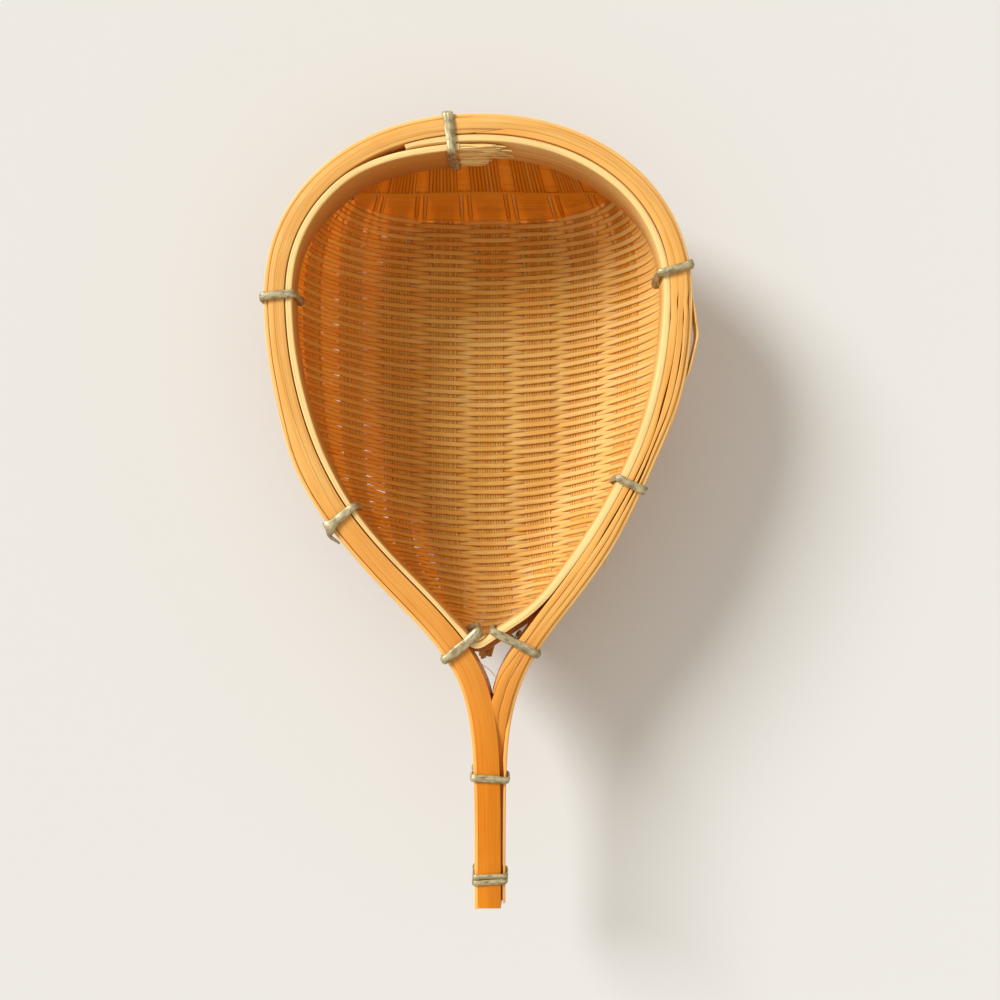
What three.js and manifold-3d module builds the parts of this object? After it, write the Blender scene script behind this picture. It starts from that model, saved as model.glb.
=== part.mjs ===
// Scoop basket of split bamboo: a woven bowl clamped between two hoops,
// tied with wire to a bent hoop whose two ends run together as the handle.
// Millimetres. +Y runs from the handle to the back wall, +X to the right and +Z up.
// The origin is under the middle of the woven floor, on the table.
import * as THREE from "three";
import { mergeVertices } from "three/addons/utils/BufferGeometryUtils.js";
import Module from "manifold-3d";

// Handle hoop, seen from above: the outer face of the bent laths.
const RIM_HEIGHT = 28;
const HOOP_HALF_WIDTH = 43;
const HOOP_WIDEST_Y = 21;
const HOOP_BACK_Y = 57.6;
const HOOP_FRONT_Y = -46.9; // where the two sides would meet without the handle
const FRONT_FULLNESS = 0.672;
const BACK_SQUARENESS = 2.11;
const NECK_SOFTNESS = 0.165;
const HANDLE_END_Y = -102;
const HANDLE_HALF_WIDTH = 3.1;
const HANDLE_SIDESTEP = 2.4; // the handle stands this far right of the bowl's middle
const SIDESTEP_FROM_Y = -20;
const SIDESTEP_TO_Y = -58;
const HOOP_SWAY = 1.0; // the hoop bulges to the left in front of its widest point
const SWAY_Y = -14;
const SWAY_LENGTH = 12;

// The laths of the handle hoop, counted inwards from its outer face.
const LATH_HEIGHT = 7;
const HANDLE_HEIGHT = 4; // the laths are shaved from below towards the handle
const LATHS_THICK = 3.9;
const SKIN_THICK = 0.8;
const INNER_LATH_THICK = 0.9;
const LATH_GAP = 0.15;
const SKIN_DROP = 0.4; // the skin's top edge stands a little lower
const LATH_CHAMFER = 0.6; // the worn top edges
const SKIN_CHAMFER = 0.25;
const LEFT_ARM_NECK = 4.7;
const LEFT_ARM_HANDLE = 4.9;
const RIGHT_ARM_HANDLE = 1.15; // the right arm is shaved thin beside the left one
const LEFT_ARM_WIDENS_Y = -46;
const NECK_Y = -58;
const HANDLE_TOP_Y = -75;
const RIGHT_ARM_TAPER_Y = -57;
const INNER_LATH_START_X = 1;
const INNER_LATH_FRONT_Y = -60;
const SCARF_LENGTH = 9;

// The two hoops that clamp the edge of the weave.
const SLOT = 0.8;
const INNER_HOOP_THICK = 1.5;
const INNER_HOOP_HEIGHT = 10;
const LAP_GAP = 0.15;
const LAP_LEFT_X = -13.6;
const LAP_RIGHT_X = 7.4;
const LAP_STEP = 17; // length over which one end moves inside the other
const HOOP_CHAMFER = 0.35;
const BINDER_THICK = 1.3;
const BINDER_GAP = 0.3;
const BINDER_JOINT_Y = -30;
const RING_RIGHT_LEAVES_Y = -40;
const RING_LEFT_LEAVES_Y = -50;

// The weave.
const RIB_WIDTH = 6.6;
const RIB_THICK = 0.5;
const RIBS_LEFT = 4;
const RIBS_RIGHT = 3;
const RIB_EDGE_LEFT = 4.5; // plain weave between the outermost rib and the ring
const RIB_EDGE_RIGHT = 10.7;
const WEFT_PITCH = 3.95; // one course of four fine wefts
const WEFT_WIDTH = 3.55;
const WEFT_THICK = 0.4;
const WEAVE_GAP = 0.15;
const COURSES_FRONT = 12;
const COURSES_BACK = 10;
const EDGE_DROP = 1.5; // the weave's edge ends this far under the rim
const FLOOR_FLAT = 0.45; // flat share of a course's half width
const FLOOR_RISES_Y = -15;
const BEND_Y = 43.4; // where the floor turns up into the back wall
const COURSE_BOW = 5.5; // a course's ends lie this much nearer the back than its middle
const BOW_MIDDLE_Y = -2;
const RIB_END_MARGIN = 1.4;
const WALL_BAND_REACH = 27;
const WALL_LOWER = [0.03, 0.41];
const WALL_UPPER = [0.44, 0.8];

// Wire ties.
const WIRE = 1.5;
const TIE_CLEARANCE = 0.15;
const TIE_CORNER = 1.1;
const TIE_OVERLAP = 0.2; // share of a turn by which the ends pass each other
const TIE_HOLE = 0.3;
const TIE_SLANT = 2.5; // most that a hoop may slant under one tie
const TIE_BACK_X = -4.2;
const TIE_LEFT_Y = 21;
const TIE_RIGHT_Y = 27;
const TIE_LEFT_LOWER_Y = -25;
const TIE_RIGHT_LOWER_Y = -18.5;
const TIE_JUNCTION_LEFT_Y = -50.6;
const TIE_JUNCTION_RIGHT_Y = -51.2;
const TIE_HANDLE_UPPER_Y = -75.7;
const TIE_HANDLE_LOWER_Y = -95.8;
const WIRE_SIDES = 6;

const ease = (value, from, to) =>
  from < to
    ? THREE.MathUtils.smoothstep(value, from, to)
    : 1 - THREE.MathUtils.smoothstep(value, to, from);
const mix = THREE.MathUtils.lerp;

// A polyline in the plan that can be read at any length along it.
class Track {
  constructor(points) {
    this.points = points;
    this.lengths = [0];
    for (let i = 1; i < points.length; i++) {
      this.lengths.push(this.lengths[i - 1] + points[i].distanceTo(points[i - 1]));
    }
    this.length = this.lengths[points.length - 1];
  }

  point(s) {
    const at = THREE.MathUtils.clamp(s, 0, this.length);
    let i = 1;
    while (i < this.points.length - 1 && this.lengths[i] < at) i++;
    const share = (at - this.lengths[i - 1]) / (this.lengths[i] - this.lengths[i - 1]);
    return this.points[i - 1].clone().lerp(this.points[i], share);
  }

  // The unit vector to the right of the direction of travel, which is inwards here.
  inward(s) {
    const ahead = this.point(s + 0.6).sub(this.point(s - 0.6));
    return new THREE.Vector2(ahead.y, -ahead.x).normalize();
  }

  // Length at which a stretch of the track first reaches a height in Y.
  lengthAtY(y, from, to) {
    const first = this.point(from).y;
    const rising = this.point(to).y > first;
    let low = from;
    let high = to;
    for (let i = 0; i < 40; i++) {
      const middle = (low + high) / 2;
      if (this.point(middle).y < y === rising) low = middle;
      else high = middle;
    }
    return (low + high) / 2;
  }
}

// A closed solid through a row of equal rings of points. Opposite faces of a strip
// split along the same diagonal, so that strips lying on each other stay parallel.
function loft(rings) {
  const count = rings[0].length;
  const positions = rings.flat().flatMap((p) => [p.x, p.y, p.z]);
  const index = [];
  for (let i = 0; i + 1 < rings.length; i++) {
    for (let j = 0; j < count; j++) {
      const a = i * count + j;
      const b = i * count + ((j + 1) % count);
      if (j < count / 2) index.push(a, b, a + count, b, b + count, a + count);
      else index.push(a, b, b + count, a, b + count, a + count);
    }
  }
  const last = (rings.length - 1) * count;
  for (let j = 1; j + 1 < count; j++) {
    index.push(0, j + 1, j, last, last + j, last + j + 1);
  }
  let volume = 0;
  const corner = (k) => new THREE.Vector3().fromArray(positions, index[k] * 3);
  for (let k = 0; k < index.length; k += 3) {
    volume += corner(k).dot(corner(k + 1).cross(corner(k + 2)));
  }
  if (volume < 0) {
    for (let k = 0; k < index.length; k += 3) {
      [index[k + 1], index[k + 2]] = [index[k + 2], index[k + 1]];
    }
  }
  const geometry = new THREE.BufferGeometry();
  geometry.setAttribute("position", new THREE.Float32BufferAttribute(positions, 3));
  geometry.setIndex(index);
  return geometry;
}

const wasm = await Module();
wasm.setup();

function solid(geometry) {
  const merged = mergeVertices(geometry, 1e-4);
  return new wasm.Manifold(
    new wasm.Mesh({
      numProp: 3,
      vertProperties: new Float32Array(merged.attributes.position.array),
      triVerts: new Uint32Array(merged.index.array),
    }),
  );
}

function geometryOf(body) {
  const mesh = body.getMesh();
  const geometry = new THREE.BufferGeometry();
  geometry.setAttribute("position", new THREE.BufferAttribute(mesh.vertProperties, 3));
  geometry.setIndex(new THREE.BufferAttribute(mesh.triVerts, 1));
  return geometry;
}

const scoop = new THREE.Group();

function addMesh(name, geometry, color, roughness, metalness = 0) {
  const material = new THREE.MeshStandardMaterial({ color, roughness, metalness });
  const mesh = new THREE.Mesh(geometry, material);
  mesh.name = name;
  scoop.add(mesh);
}

// Outline of the handle hoop: teardrop in front, squared oval behind.
function hoopHalfWidth(y) {
  const reach = (HOOP_WIDEST_Y - y) / (HOOP_WIDEST_Y - HOOP_FRONT_Y);
  const swell = NECK_SOFTNESS * Math.log1p(Math.exp((1 - reach ** 2) / NECK_SOFTNESS));
  return HANDLE_HALF_WIDTH + (HOOP_HALF_WIDTH - HANDLE_HALF_WIDTH) * swell ** FRONT_FULLNESS;
}

const middleX = (y) => HANDLE_SIDESTEP * ease(y, SIDESTEP_FROM_Y, SIDESTEP_TO_Y);

function hoopTrack() {
  const left = [];
  const back = [];
  const FRONT_STEPS = 160;
  const BACK_STEPS = 120;
  for (let i = 0; i <= FRONT_STEPS; i++) {
    const y = mix(HANDLE_END_Y, HOOP_WIDEST_Y, i / FRONT_STEPS);
    left.push([y, hoopHalfWidth(y)]);
  }
  for (let i = 1; i < BACK_STEPS; i++) {
    const turn = Math.PI * (1 - i / BACK_STEPS);
    const across = Math.abs(Math.cos(turn)) ** (2 / BACK_SQUARENESS);
    const x = HOOP_HALF_WIDTH * across * Math.sign(Math.cos(turn));
    const rise = (HOOP_BACK_Y - HOOP_WIDEST_Y) * Math.sin(turn) ** (2 / BACK_SQUARENESS);
    back.push(new THREE.Vector2(x, HOOP_WIDEST_Y + rise));
  }
  const leftPoints = left.map(([y, w]) => new THREE.Vector2(middleX(y) - w, y));
  const rightPoints = left.map(([y, w]) => new THREE.Vector2(middleX(y) + w, y)).reverse();
  return new Track([...leftPoints, ...back, ...rightPoints]);
}

const hoop = hoopTrack();
const HOOP_BACK_S = hoop.length / 2;
const hoopS = (side, y) =>
  side < 0
    ? hoop.lengthAtY(y, 0, HOOP_BACK_S)
    : hoop.lengthAtY(y, HOOP_BACK_S, hoop.length);

// Depth of the laths' outer and inner faces behind the hoop's outline.
function outerFace(s) {
  const { y } = hoop.point(s);
  const sway = HOOP_SWAY * Math.exp(-(((y - SWAY_Y) / SWAY_LENGTH) ** 2));
  const back = ease(y, HOOP_WIDEST_Y, SWAY_Y);
  return (s < HOOP_BACK_S ? -sway : sway) * back;
}

function innerFace(s) {
  const { y } = hoop.point(s);
  if (s < HOOP_BACK_S) {
    const neck = mix(LATHS_THICK, LEFT_ARM_NECK, ease(y, LEFT_ARM_WIDENS_Y, NECK_Y));
    return mix(neck, LEFT_ARM_HANDLE, ease(y, NECK_Y, HANDLE_TOP_Y));
  }
  return mix(LATHS_THICK, RIGHT_ARM_HANDLE, ease(y, RIGHT_ARM_TAPER_Y, HANDLE_TOP_Y));
}

// One lath along a track, between two depths and two heights. Its top edges are worn off,
// by less than a third of its thickness where it is shaved thin.
function lath(track, stations, outer, inner, low, high, chamfer) {
  return loft(
    stations.map((s) => {
      const p = track.point(s);
      const n = track.inward(s);
      const o = outer(s);
      const i = inner(s);
      const worn = Math.min(chamfer, 0.3 * (i - o));
      const corner = (depth, z) => {
        const q = p.clone().addScaledVector(n, depth);
        return new THREE.Vector3(q.x, q.y, z);
      };
      return [
        corner(o, low(s)),
        corner(i, low(s)),
        corner(i, high - worn),
        corner(i - worn, high),
        corner(o + worn, high),
        corner(o, high - worn),
      ];
    }),
  );
}

function stationsBetween(from, to, step) {
  const count = Math.max(2, Math.round((to - from) / step));
  return Array.from({ length: count + 1 }, (_, i) => mix(from, to, i / count));
}

const LATH_STEP = 5;
const LATH_LOW = RIM_HEIGHT - LATH_HEIGHT;
const underside = (y) => RIM_HEIGHT - mix(LATH_HEIGHT, HANDLE_HEIGHT, ease(y, NECK_Y, HANDLE_TOP_Y));
const lathLow = (s) => underside(hoop.point(s).y);
const hoopStations = stationsBetween(0, hoop.length, LATH_STEP);

// In the shaved end of the right arm the skin thins down with the arm.
const skinInner = (s) => Math.min(outerFace(s) + SKIN_THICK, innerFace(s) * 0.45);
addMesh(
  "handle_hoop_skin",
  lath(hoop, hoopStations, outerFace, skinInner, lathLow, RIM_HEIGHT - SKIN_DROP, SKIN_CHAMFER),
  0xeab061,
  0.45,
);

// The inner lath starts as a scarf behind the back tie and ends as a scarf in the neck.
const innerLathStart = HOOP_BACK_S + INNER_LATH_START_X;
const innerLathEnd = hoopS(1, INNER_LATH_FRONT_Y);
function innerLathThick(s) {
  const start = ease(s, innerLathStart, innerLathStart + SCARF_LENGTH);
  const end = ease(s, innerLathEnd, innerLathEnd - SCARF_LENGTH);
  return INNER_LATH_THICK * mix(0.25, 1, Math.min(start, end));
}

const behindInnerLath = (s) => innerFace(s) - innerLathThick(s);
function coreInner(s) {
  const before = ease(s, innerLathStart - SCARF_LENGTH / 3, innerLathStart);
  const after = ease(s, innerLathEnd + SCARF_LENGTH / 3, innerLathEnd);
  const covered = Math.min(before, after);
  return innerFace(s) - (innerLathThick(s) + LATH_GAP) * covered;
}

const coreStations = [
  ...stationsBetween(0, innerLathStart - SCARF_LENGTH / 3, LATH_STEP),
  ...stationsBetween(innerLathStart, innerLathEnd, LATH_STEP),
  ...stationsBetween(innerLathEnd + SCARF_LENGTH / 3, hoop.length, LATH_STEP),
];
const coreOuter = (s) => skinInner(s) + LATH_GAP;
addMesh(
  "handle_hoop_core",
  lath(hoop, coreStations, coreOuter, coreInner, lathLow, RIM_HEIGHT, LATH_CHAMFER),
  0xe6a04a,
  0.42,
);
addMesh(
  "handle_hoop_inner_lath",
  lath(
    hoop,
    stationsBetween(innerLathStart, innerLathEnd, LATH_STEP),
    behindInnerLath,
    innerFace,
    lathLow,
    RIM_HEIGHT,
    SKIN_CHAMFER,
  ),
  0xf0b468,
  0.45,
);

// The bowl's ring: the middle of the slot between the clamping hoops. It follows the arms,
// leaves the right one first and closes in a rounded corner against the left one.
function ringTrack() {
  const slotMiddle = (s) =>
    hoop.point(s).addScaledVector(hoop.inward(s), innerFace(s) + SLOT / 2);
  const leftEnd = hoopS(-1, RING_LEFT_LEAVES_Y);
  const rightEnd = hoopS(1, RING_RIGHT_LEAVES_Y);
  const upLeft = stationsBetween(leftEnd, HOOP_BACK_S, 1).map(slotMiddle);
  const downRight = stationsBetween(HOOP_BACK_S, rightEnd, 1).map(slotMiddle);
  const start = downRight[downRight.length - 1];
  const end = upLeft[0];
  const leave = start.clone().sub(downRight[downRight.length - 3]).normalize();
  const arrive = upLeft[2].clone().sub(end).normalize();
  const between = end.clone().sub(start);
  const run = between.cross(arrive) / leave.cross(arrive);
  const corner = start.clone().addScaledVector(leave, run);
  const tip = new THREE.QuadraticBezierCurve(start, corner, end).getSpacedPoints(40);
  return new Track([...downRight, ...tip.slice(1), ...upLeft.slice(1)]);
}

// The ring starts and ends at the back, and its lengths wrap there.
const ring = ringTrack();
const wrap = (s) => ((s % ring.length) + ring.length) % ring.length;
const ringLoop = {
  point: (s) => ring.point(wrap(s)),
  inward(s) {
    const ahead = ring.point(wrap(s + 0.6)).sub(ring.point(wrap(s - 0.6)));
    return new THREE.Vector2(ahead.y, -ahead.x).normalize();
  },
};
const tipIndex = ring.points.reduce((low, p, i, all) => (p.y < all[low].y ? i : low), 0);
const RING_TIP_S = ring.lengths[tipIndex];
const RING_TIP_Y = ring.points[tipIndex].y;
const ringS = (side, y) =>
  side > 0 ? ring.lengthAtY(y, 0, RING_TIP_S) : ring.lengthAtY(y, RING_TIP_S, ring.length);

// Inner hoop: starts at the left of the lap, goes once round clockwise and ends inside itself.
const lapStart = LAP_LEFT_X;
const lapEnd = ring.length + LAP_RIGHT_X;
const lapStep = (s) =>
  (INNER_HOOP_THICK + LAP_GAP) *
  ease(s, ring.length + LAP_LEFT_X - LAP_STEP, ring.length + LAP_LEFT_X - 1);
addMesh(
  "inner_hoop",
  lath(
    ringLoop,
    stationsBetween(lapStart, lapEnd, LATH_STEP),
    (s) => SLOT / 2 + lapStep(s),
    (s) => SLOT / 2 + lapStep(s) + INNER_HOOP_THICK,
    () => RIM_HEIGHT - INNER_HOOP_HEIGHT,
    RIM_HEIGHT,
    HOOP_CHAMFER,
  ),
  0xf2d08a,
  0.5,
);

// Binder hoop: under the laths, its two ends meet under the left arm.
const BINDER_JOINT_S = ringS(-1, BINDER_JOINT_Y);
addMesh(
  "binder_hoop",
  lath(
    ringLoop,
    stationsBetween(
      BINDER_JOINT_S + BINDER_GAP,
      BINDER_JOINT_S + ring.length - BINDER_GAP,
      LATH_STEP,
    ),
    () => -SLOT / 2 - BINDER_THICK,
    () => -SLOT / 2,
    () => RIM_HEIGHT - INNER_HOOP_HEIGHT,
    LATH_LOW - BINDER_GAP,
    HOOP_CHAMFER,
  ),
  0xb9823c,
  0.6,
);

// The woven surface, half way through the weave. A course is a line across the bowl at
// a length along the floor's middle line; a place on it is a signed length from the middle.
const WEFT_OFFSET = RIB_THICK / 2 + WEAVE_GAP + WEFT_THICK / 2;
const FLOOR_Z = WEFT_OFFSET + WEFT_THICK / 2;
const SKIRT_LOW = RIM_HEIGHT - INNER_HOOP_HEIGHT;
const SKIRT_HIGH = RIM_HEIGHT - EDGE_DROP;
const FLOOR_DEPTH = SKIRT_LOW - FLOOR_Z;

// Middle line of the floor: flat, then a quarter ellipse up to the tip.
const RAMP = FLOOR_RISES_Y - RING_TIP_Y;
const rampDepth = (y) => Math.sqrt(Math.max(0, 1 - ((FLOOR_RISES_Y - y) / RAMP) ** 2));
const ramp = new Track(
  Array.from({ length: 91 }, (_, i) => {
    const turn = (Math.PI / 2) * (i / 90);
    return new THREE.Vector2(-RAMP * Math.sin(turn), FLOOR_DEPTH * (1 - Math.cos(turn)));
  }),
);
const floorY = (along) =>
  along >= FLOOR_RISES_Y ? along : FLOOR_RISES_Y + ramp.point(FLOOR_RISES_Y - along).x;

const bow = (y) => {
  const reach = y > BOW_MIDDLE_Y ? BEND_Y - BOW_MIDDLE_Y : BOW_MIDDLE_Y - RING_TIP_Y;
  return COURSE_BOW * (1 - 0.8 * ((y - BOW_MIDDLE_Y) / reach) ** 2);
};

const courses = new Map();
function course(along) {
  const key = along.toFixed(4);
  if (courses.has(key)) return courses.get(key);
  const y = floorY(along);
  const depth = y < FLOOR_RISES_Y ? FLOOR_DEPTH * rampDepth(y) : FLOOR_DEPTH;
  const endY = y + bow(y);
  const left = ring.point(ringS(-1, endY));
  const right = ring.point(ringS(1, endY));
  const middle = (left.x + right.x) / 2;
  const STEPS = 48;
  const half = (end) => {
    const points = [];
    for (let i = 0; i <= STEPS; i++) {
      const share = Math.sin((Math.PI / 2) * (i / STEPS));
      const climb = Math.max(0, (share - FLOOR_FLAT) / (1 - FLOOR_FLAT));
      const x = mix(middle, end.x, share);
      const z = SKIRT_LOW - depth * Math.sqrt(Math.max(0, 1 - climb ** 2));
      points.push(new THREE.Vector3(x, mix(y, end.y, share ** 2), z));
    }
    const line = new Track(points);
    line.girth = line.length;
    return line;
  };
  const made = { left: half(left), right: half(right) };
  courses.set(key, made);
  return made;
}

const girth = (along, side) => (side < 0 ? course(along).left : course(along).right).girth;

// A place past the girth stands in the slot, straight above the course's end.
function woven(along, s) {
  const line = s < 0 ? course(along).left : course(along).right;
  const over = Math.abs(s) - line.girth;
  const p = line.point(Math.abs(s));
  if (over > 0) p.z += over;
  return p;
}

function wovenNormal(along, s) {
  const STEP = 0.2;
  const side = s < 0 ? -1 : 1;
  const limit = girth(along, side);
  const across = woven(along, s + STEP).sub(woven(along, s - STEP));
  const over = Math.max(0, Math.abs(s) - limit);
  const place = (a) => side * (over > 0 ? girth(a, side) + over : Math.abs(s));
  const ahead = woven(along + STEP, place(along + STEP));
  const behind = woven(along - STEP, place(along - STEP));
  return across.cross(ahead.sub(behind)).normalize();
}

// A strip of bamboo: rings of four corners from pairs of edge points and normals.
function stripRing(a, b, na, nb, middle, thick) {
  return [
    a.clone().addScaledVector(na, middle - thick / 2),
    b.clone().addScaledVector(nb, middle - thick / 2),
    b.clone().addScaledVector(nb, middle + thick / 2),
    a.clone().addScaledVector(na, middle + thick / 2),
  ];
}

// The ribs are spread evenly over the widest course.
const WIDEST_COURSE = HOOP_WIDEST_Y - COURSE_BOW;
const ribNumbers = Array.from(
  { length: RIBS_LEFT + RIBS_RIGHT + 1 },
  (_, i) => i - RIBS_LEFT,
);
const ribFirst = RIB_EDGE_LEFT + RIB_WIDTH / 2 - girth(WIDEST_COURSE, -1);
const ribLast = girth(WIDEST_COURSE, 1) - RIB_EDGE_RIGHT - RIB_WIDTH / 2;
const ribPlace = (k) => mix(ribFirst, ribLast, (k + RIBS_LEFT) / (RIBS_LEFT + RIBS_RIGHT));

// A rib spans the courses that are wide enough to cross the whole of it.
const rows = Array.from(
  { length: COURSES_FRONT + COURSES_BACK + 1 },
  (_, i) => i - COURSES_FRONT,
);
const rowEdges = (row) => [-1, 1].map((side) => row * WEFT_PITCH + (side * WEFT_WIDTH) / 2);
function ribFits(k, row) {
  const reach = Math.abs(ribPlace(k)) + RIB_WIDTH / 2 + RIB_END_MARGIN;
  return rowEdges(row).every((along) => reach < girth(along, Math.sign(ribPlace(k))));
}

// Back wall: from the bend up to the ring, leaning back.
const backShare = (s) => {
  const side = s < 0 ? -1 : 1;
  const end = ringS(side, BEND_Y + bow(BEND_Y));
  const arc = side < 0 ? ring.length - end : end;
  return (s / girth(BEND_Y, side)) * arc;
};

function wall(s, up) {
  const foot = woven(BEND_Y, s);
  const head = ringLoop.point(backShare(s));
  const share = Math.min(up, 1);
  const p = foot.lerp(new THREE.Vector3(head.x, head.y, SKIRT_LOW), share);
  if (up > 1) p.z += (up - 1) * (SKIRT_HIGH - SKIRT_LOW);
  return p;
}

function wallNormal(s, up) {
  const across = wall(s + 0.2, up).sub(wall(s - 0.2, up));
  const rise = wall(s, up + 0.02).sub(wall(s, up - 0.02));
  return across.cross(rise).normalize();
}

const bambooTones = [0xd79a4a, 0xdca256, 0xd2934a, 0xe0aa60];

// Wire ties: helical turns of wire round the laths and hoops.
function tieGeometry(tie, wire, sides) {
  const { origin, axis, across, low, high, inner, outer } = tie;
  const pad = WIRE / 2 + TIE_CLEARANCE;
  const shape = new THREE.Path();
  const x0 = -outer - pad;
  const x1 = inner + pad;
  const y0 = low - pad;
  const y1 = high + pad;
  const r = TIE_CORNER;
  const start = mix(x0, x1, 0.5);
  shape.moveTo(start, y0);
  shape.lineTo(x0 + r, y0);
  shape.absarc(x0 + r, y0 + r, r, -Math.PI / 2, -Math.PI, true);
  shape.lineTo(x0, y1 - r);
  shape.absarc(x0 + r, y1 - r, r, Math.PI, Math.PI / 2, true);
  shape.lineTo(x1 - r, y1);
  shape.absarc(x1 - r, y1 - r, r, Math.PI / 2, 0, true);
  shape.lineTo(x1, y0 + r);
  shape.absarc(x1 - r, y0 + r, r, 0, -Math.PI / 2, true);
  shape.lineTo(start, y0);
  const loop = new Track(shape.getPoints(2));
  const perTurn = loop.points.length - 1;
  const total = loop.length * (1 + TIE_OVERLAP);
  const stops = [];
  for (let turn = 0; turn < 2; turn++) {
    for (let i = 0; i < perTurn; i++) {
      const at = turn * loop.length + loop.lengths[i];
      if (at < total - 0.5) stops.push(at);
    }
  }
  stops.push(total);
  const advance = (WIRE + TIE_CLEARANCE) / loop.length;
  const centre = (at) => {
    const p = loop.point(at % loop.length);
    const drift = (at - total / 2) * advance;
    return new THREE.Vector3()
      .copy(origin)
      .addScaledVector(across, p.x)
      .addScaledVector(axis, drift)
      .add(new THREE.Vector3(0, 0, p.y));
  };
  const rings = stops.map((at) => {
    const ahead = centre(at + 0.05).sub(centre(at - 0.05)).normalize();
    const side = new THREE.Vector3().crossVectors(ahead, axis).normalize();
    const up = new THREE.Vector3().crossVectors(side, ahead);
    const middle = centre(at);
    return Array.from({ length: sides }, (_, i) => {
      const turn = (2 * Math.PI * i) / sides;
      return middle
        .clone()
        .addScaledVector(side, (wire / 2) * Math.cos(turn))
        .addScaledVector(up, (wire / 2) * Math.sin(turn));
    });
  });
  return loft(rings);
}

// How far in from a tie's place the inner hoop reaches under the wire: the near side of
// the hoop only, because a tie at the tip also points at its far side.
function hoopReach(p, n) {
  const under = [];
  for (let s = lapStart; s < lapEnd; s += 0.5) {
    const depth = SLOT / 2 + lapStep(s) + INNER_HOOP_THICK;
    const q = ringLoop.point(s).addScaledVector(ringLoop.inward(s), depth).sub(p);
    if (Math.abs(q.cross(n)) < WIRE + TIE_CLEARANCE) under.push(q.dot(n));
  }
  const nearest = Math.min(...under);
  return Math.max(...under.filter((reach) => reach < nearest + TIE_SLANT));
}

function hoopTie(name, side, y, skew) {
  const s = side === 0 ? HOOP_BACK_S + y : hoopS(side, y);
  const p = hoop.point(s);
  const n = hoop.inward(s).rotateAround(new THREE.Vector2(), skew);
  return {
    name,
    origin: new THREE.Vector3(p.x, p.y, 0),
    across: new THREE.Vector3(n.x, n.y, 0),
    axis: new THREE.Vector3(-n.y, n.x, 0),
    outer: -outerFace(s),
    inner: hoopReach(p, n),
    low: SKIRT_LOW,
    high: RIM_HEIGHT,
  };
}

function handleTie(name, y, skew) {
  const n = new THREE.Vector2(1, 0).rotateAround(new THREE.Vector2(), skew);
  const widest = hoopHalfWidth(y + 2 * WIRE);
  return {
    name,
    origin: new THREE.Vector3(middleX(y), y, 0),
    across: new THREE.Vector3(n.x, n.y, 0),
    axis: new THREE.Vector3(-n.y, n.x, 0),
    outer: widest,
    inner: widest,
    low: underside(y),
    high: RIM_HEIGHT,
  };
}

const ties = [
  hoopTie("tie_back", 0, TIE_BACK_X, -0.05),
  hoopTie("tie_left", -1, TIE_LEFT_Y, 0.02),
  hoopTie("tie_right", 1, TIE_RIGHT_Y, 0.1),
  hoopTie("tie_left_lower", -1, TIE_LEFT_LOWER_Y, 0.03),
  hoopTie("tie_right_lower", 1, TIE_RIGHT_LOWER_Y, -0.05),
  hoopTie("tie_junction_left", -1, TIE_JUNCTION_LEFT_Y, 0.02),
  hoopTie("tie_junction_right", 1, TIE_JUNCTION_RIGHT_Y, -0.02),
  handleTie("tie_handle_upper", TIE_HANDLE_UPPER_Y, -0.13),
  handleTie("tie_handle_lower", TIE_HANDLE_LOWER_Y, -0.03),
];
const holes = ties.map((tie) => solid(tieGeometry(tie, WIRE + 2 * TIE_HOLE, WIRE_SIDES)));
ties.forEach((tie) =>
  addMesh(tie.name, tieGeometry(tie, WIRE, WIRE_SIDES), 0xa79f7e, 0.4, 0.9),
);

// A woven strip parts where a tie goes through it.
function parted(geometry) {
  let body = solid(geometry);
  holes.forEach((hole) => {
    if (body.intersect(hole).volume() > 0) body = body.subtract(hole);
  });
  return geometryOf(body);
}

// Ribs, from where they meet the ring in front to where they meet it behind.
const SIDE_NAMES = { "-1": "left", 1: "right" };
const ribName = (k) => (k === 0 ? "rib_middle" : `rib_${SIDE_NAMES[Math.sign(k)]}_${Math.abs(k)}`);
ribNumbers.forEach((k) => {
  const place = ribPlace(k);
  const edges = [place - RIB_WIDTH / 2, place + RIB_WIDTH / 2];
  const crossed = rows.filter((row) => ribFits(k, row));
  const reachesWall = crossed.includes(COURSES_BACK);
  const rings = [];
  crossed.flatMap(rowEdges).forEach((along) => {
    const [a, b] = edges.map((s) => woven(along, s));
    const [na, nb] = edges.map((s) => wovenNormal(along, s));
    rings.push(stripRing(a, b, na, nb, 0, RIB_THICK));
  });
  if (reachesWall) {
    const bendNormal = (s) => wovenNormal(BEND_Y, s).add(wallNormal(s, 0.1)).normalize();
    const headNormal = (s) => wallNormal(s, 0.9).add(wallNormal(s, 1.2)).normalize();
    const wallStops = [0, 0.25, 0.5, 0.75, 1, 2];
    wallStops.forEach((up) => {
      const [a, b] = edges.map((s) => wall(s, up));
      const normal = (s) => {
        if (up === 0) return bendNormal(s);
        return up === 1 ? headNormal(s) : wallNormal(s, up === 2 ? 1.9 : up);
      };
      rings.push(stripRing(a, b, normal(edges[0]), normal(edges[1]), 0, RIB_THICK));
    });
  }
  addMesh(ribName(k), parted(loft(rings)), bambooTones[(k + RIBS_LEFT) % 4], 0.55);
});

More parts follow.
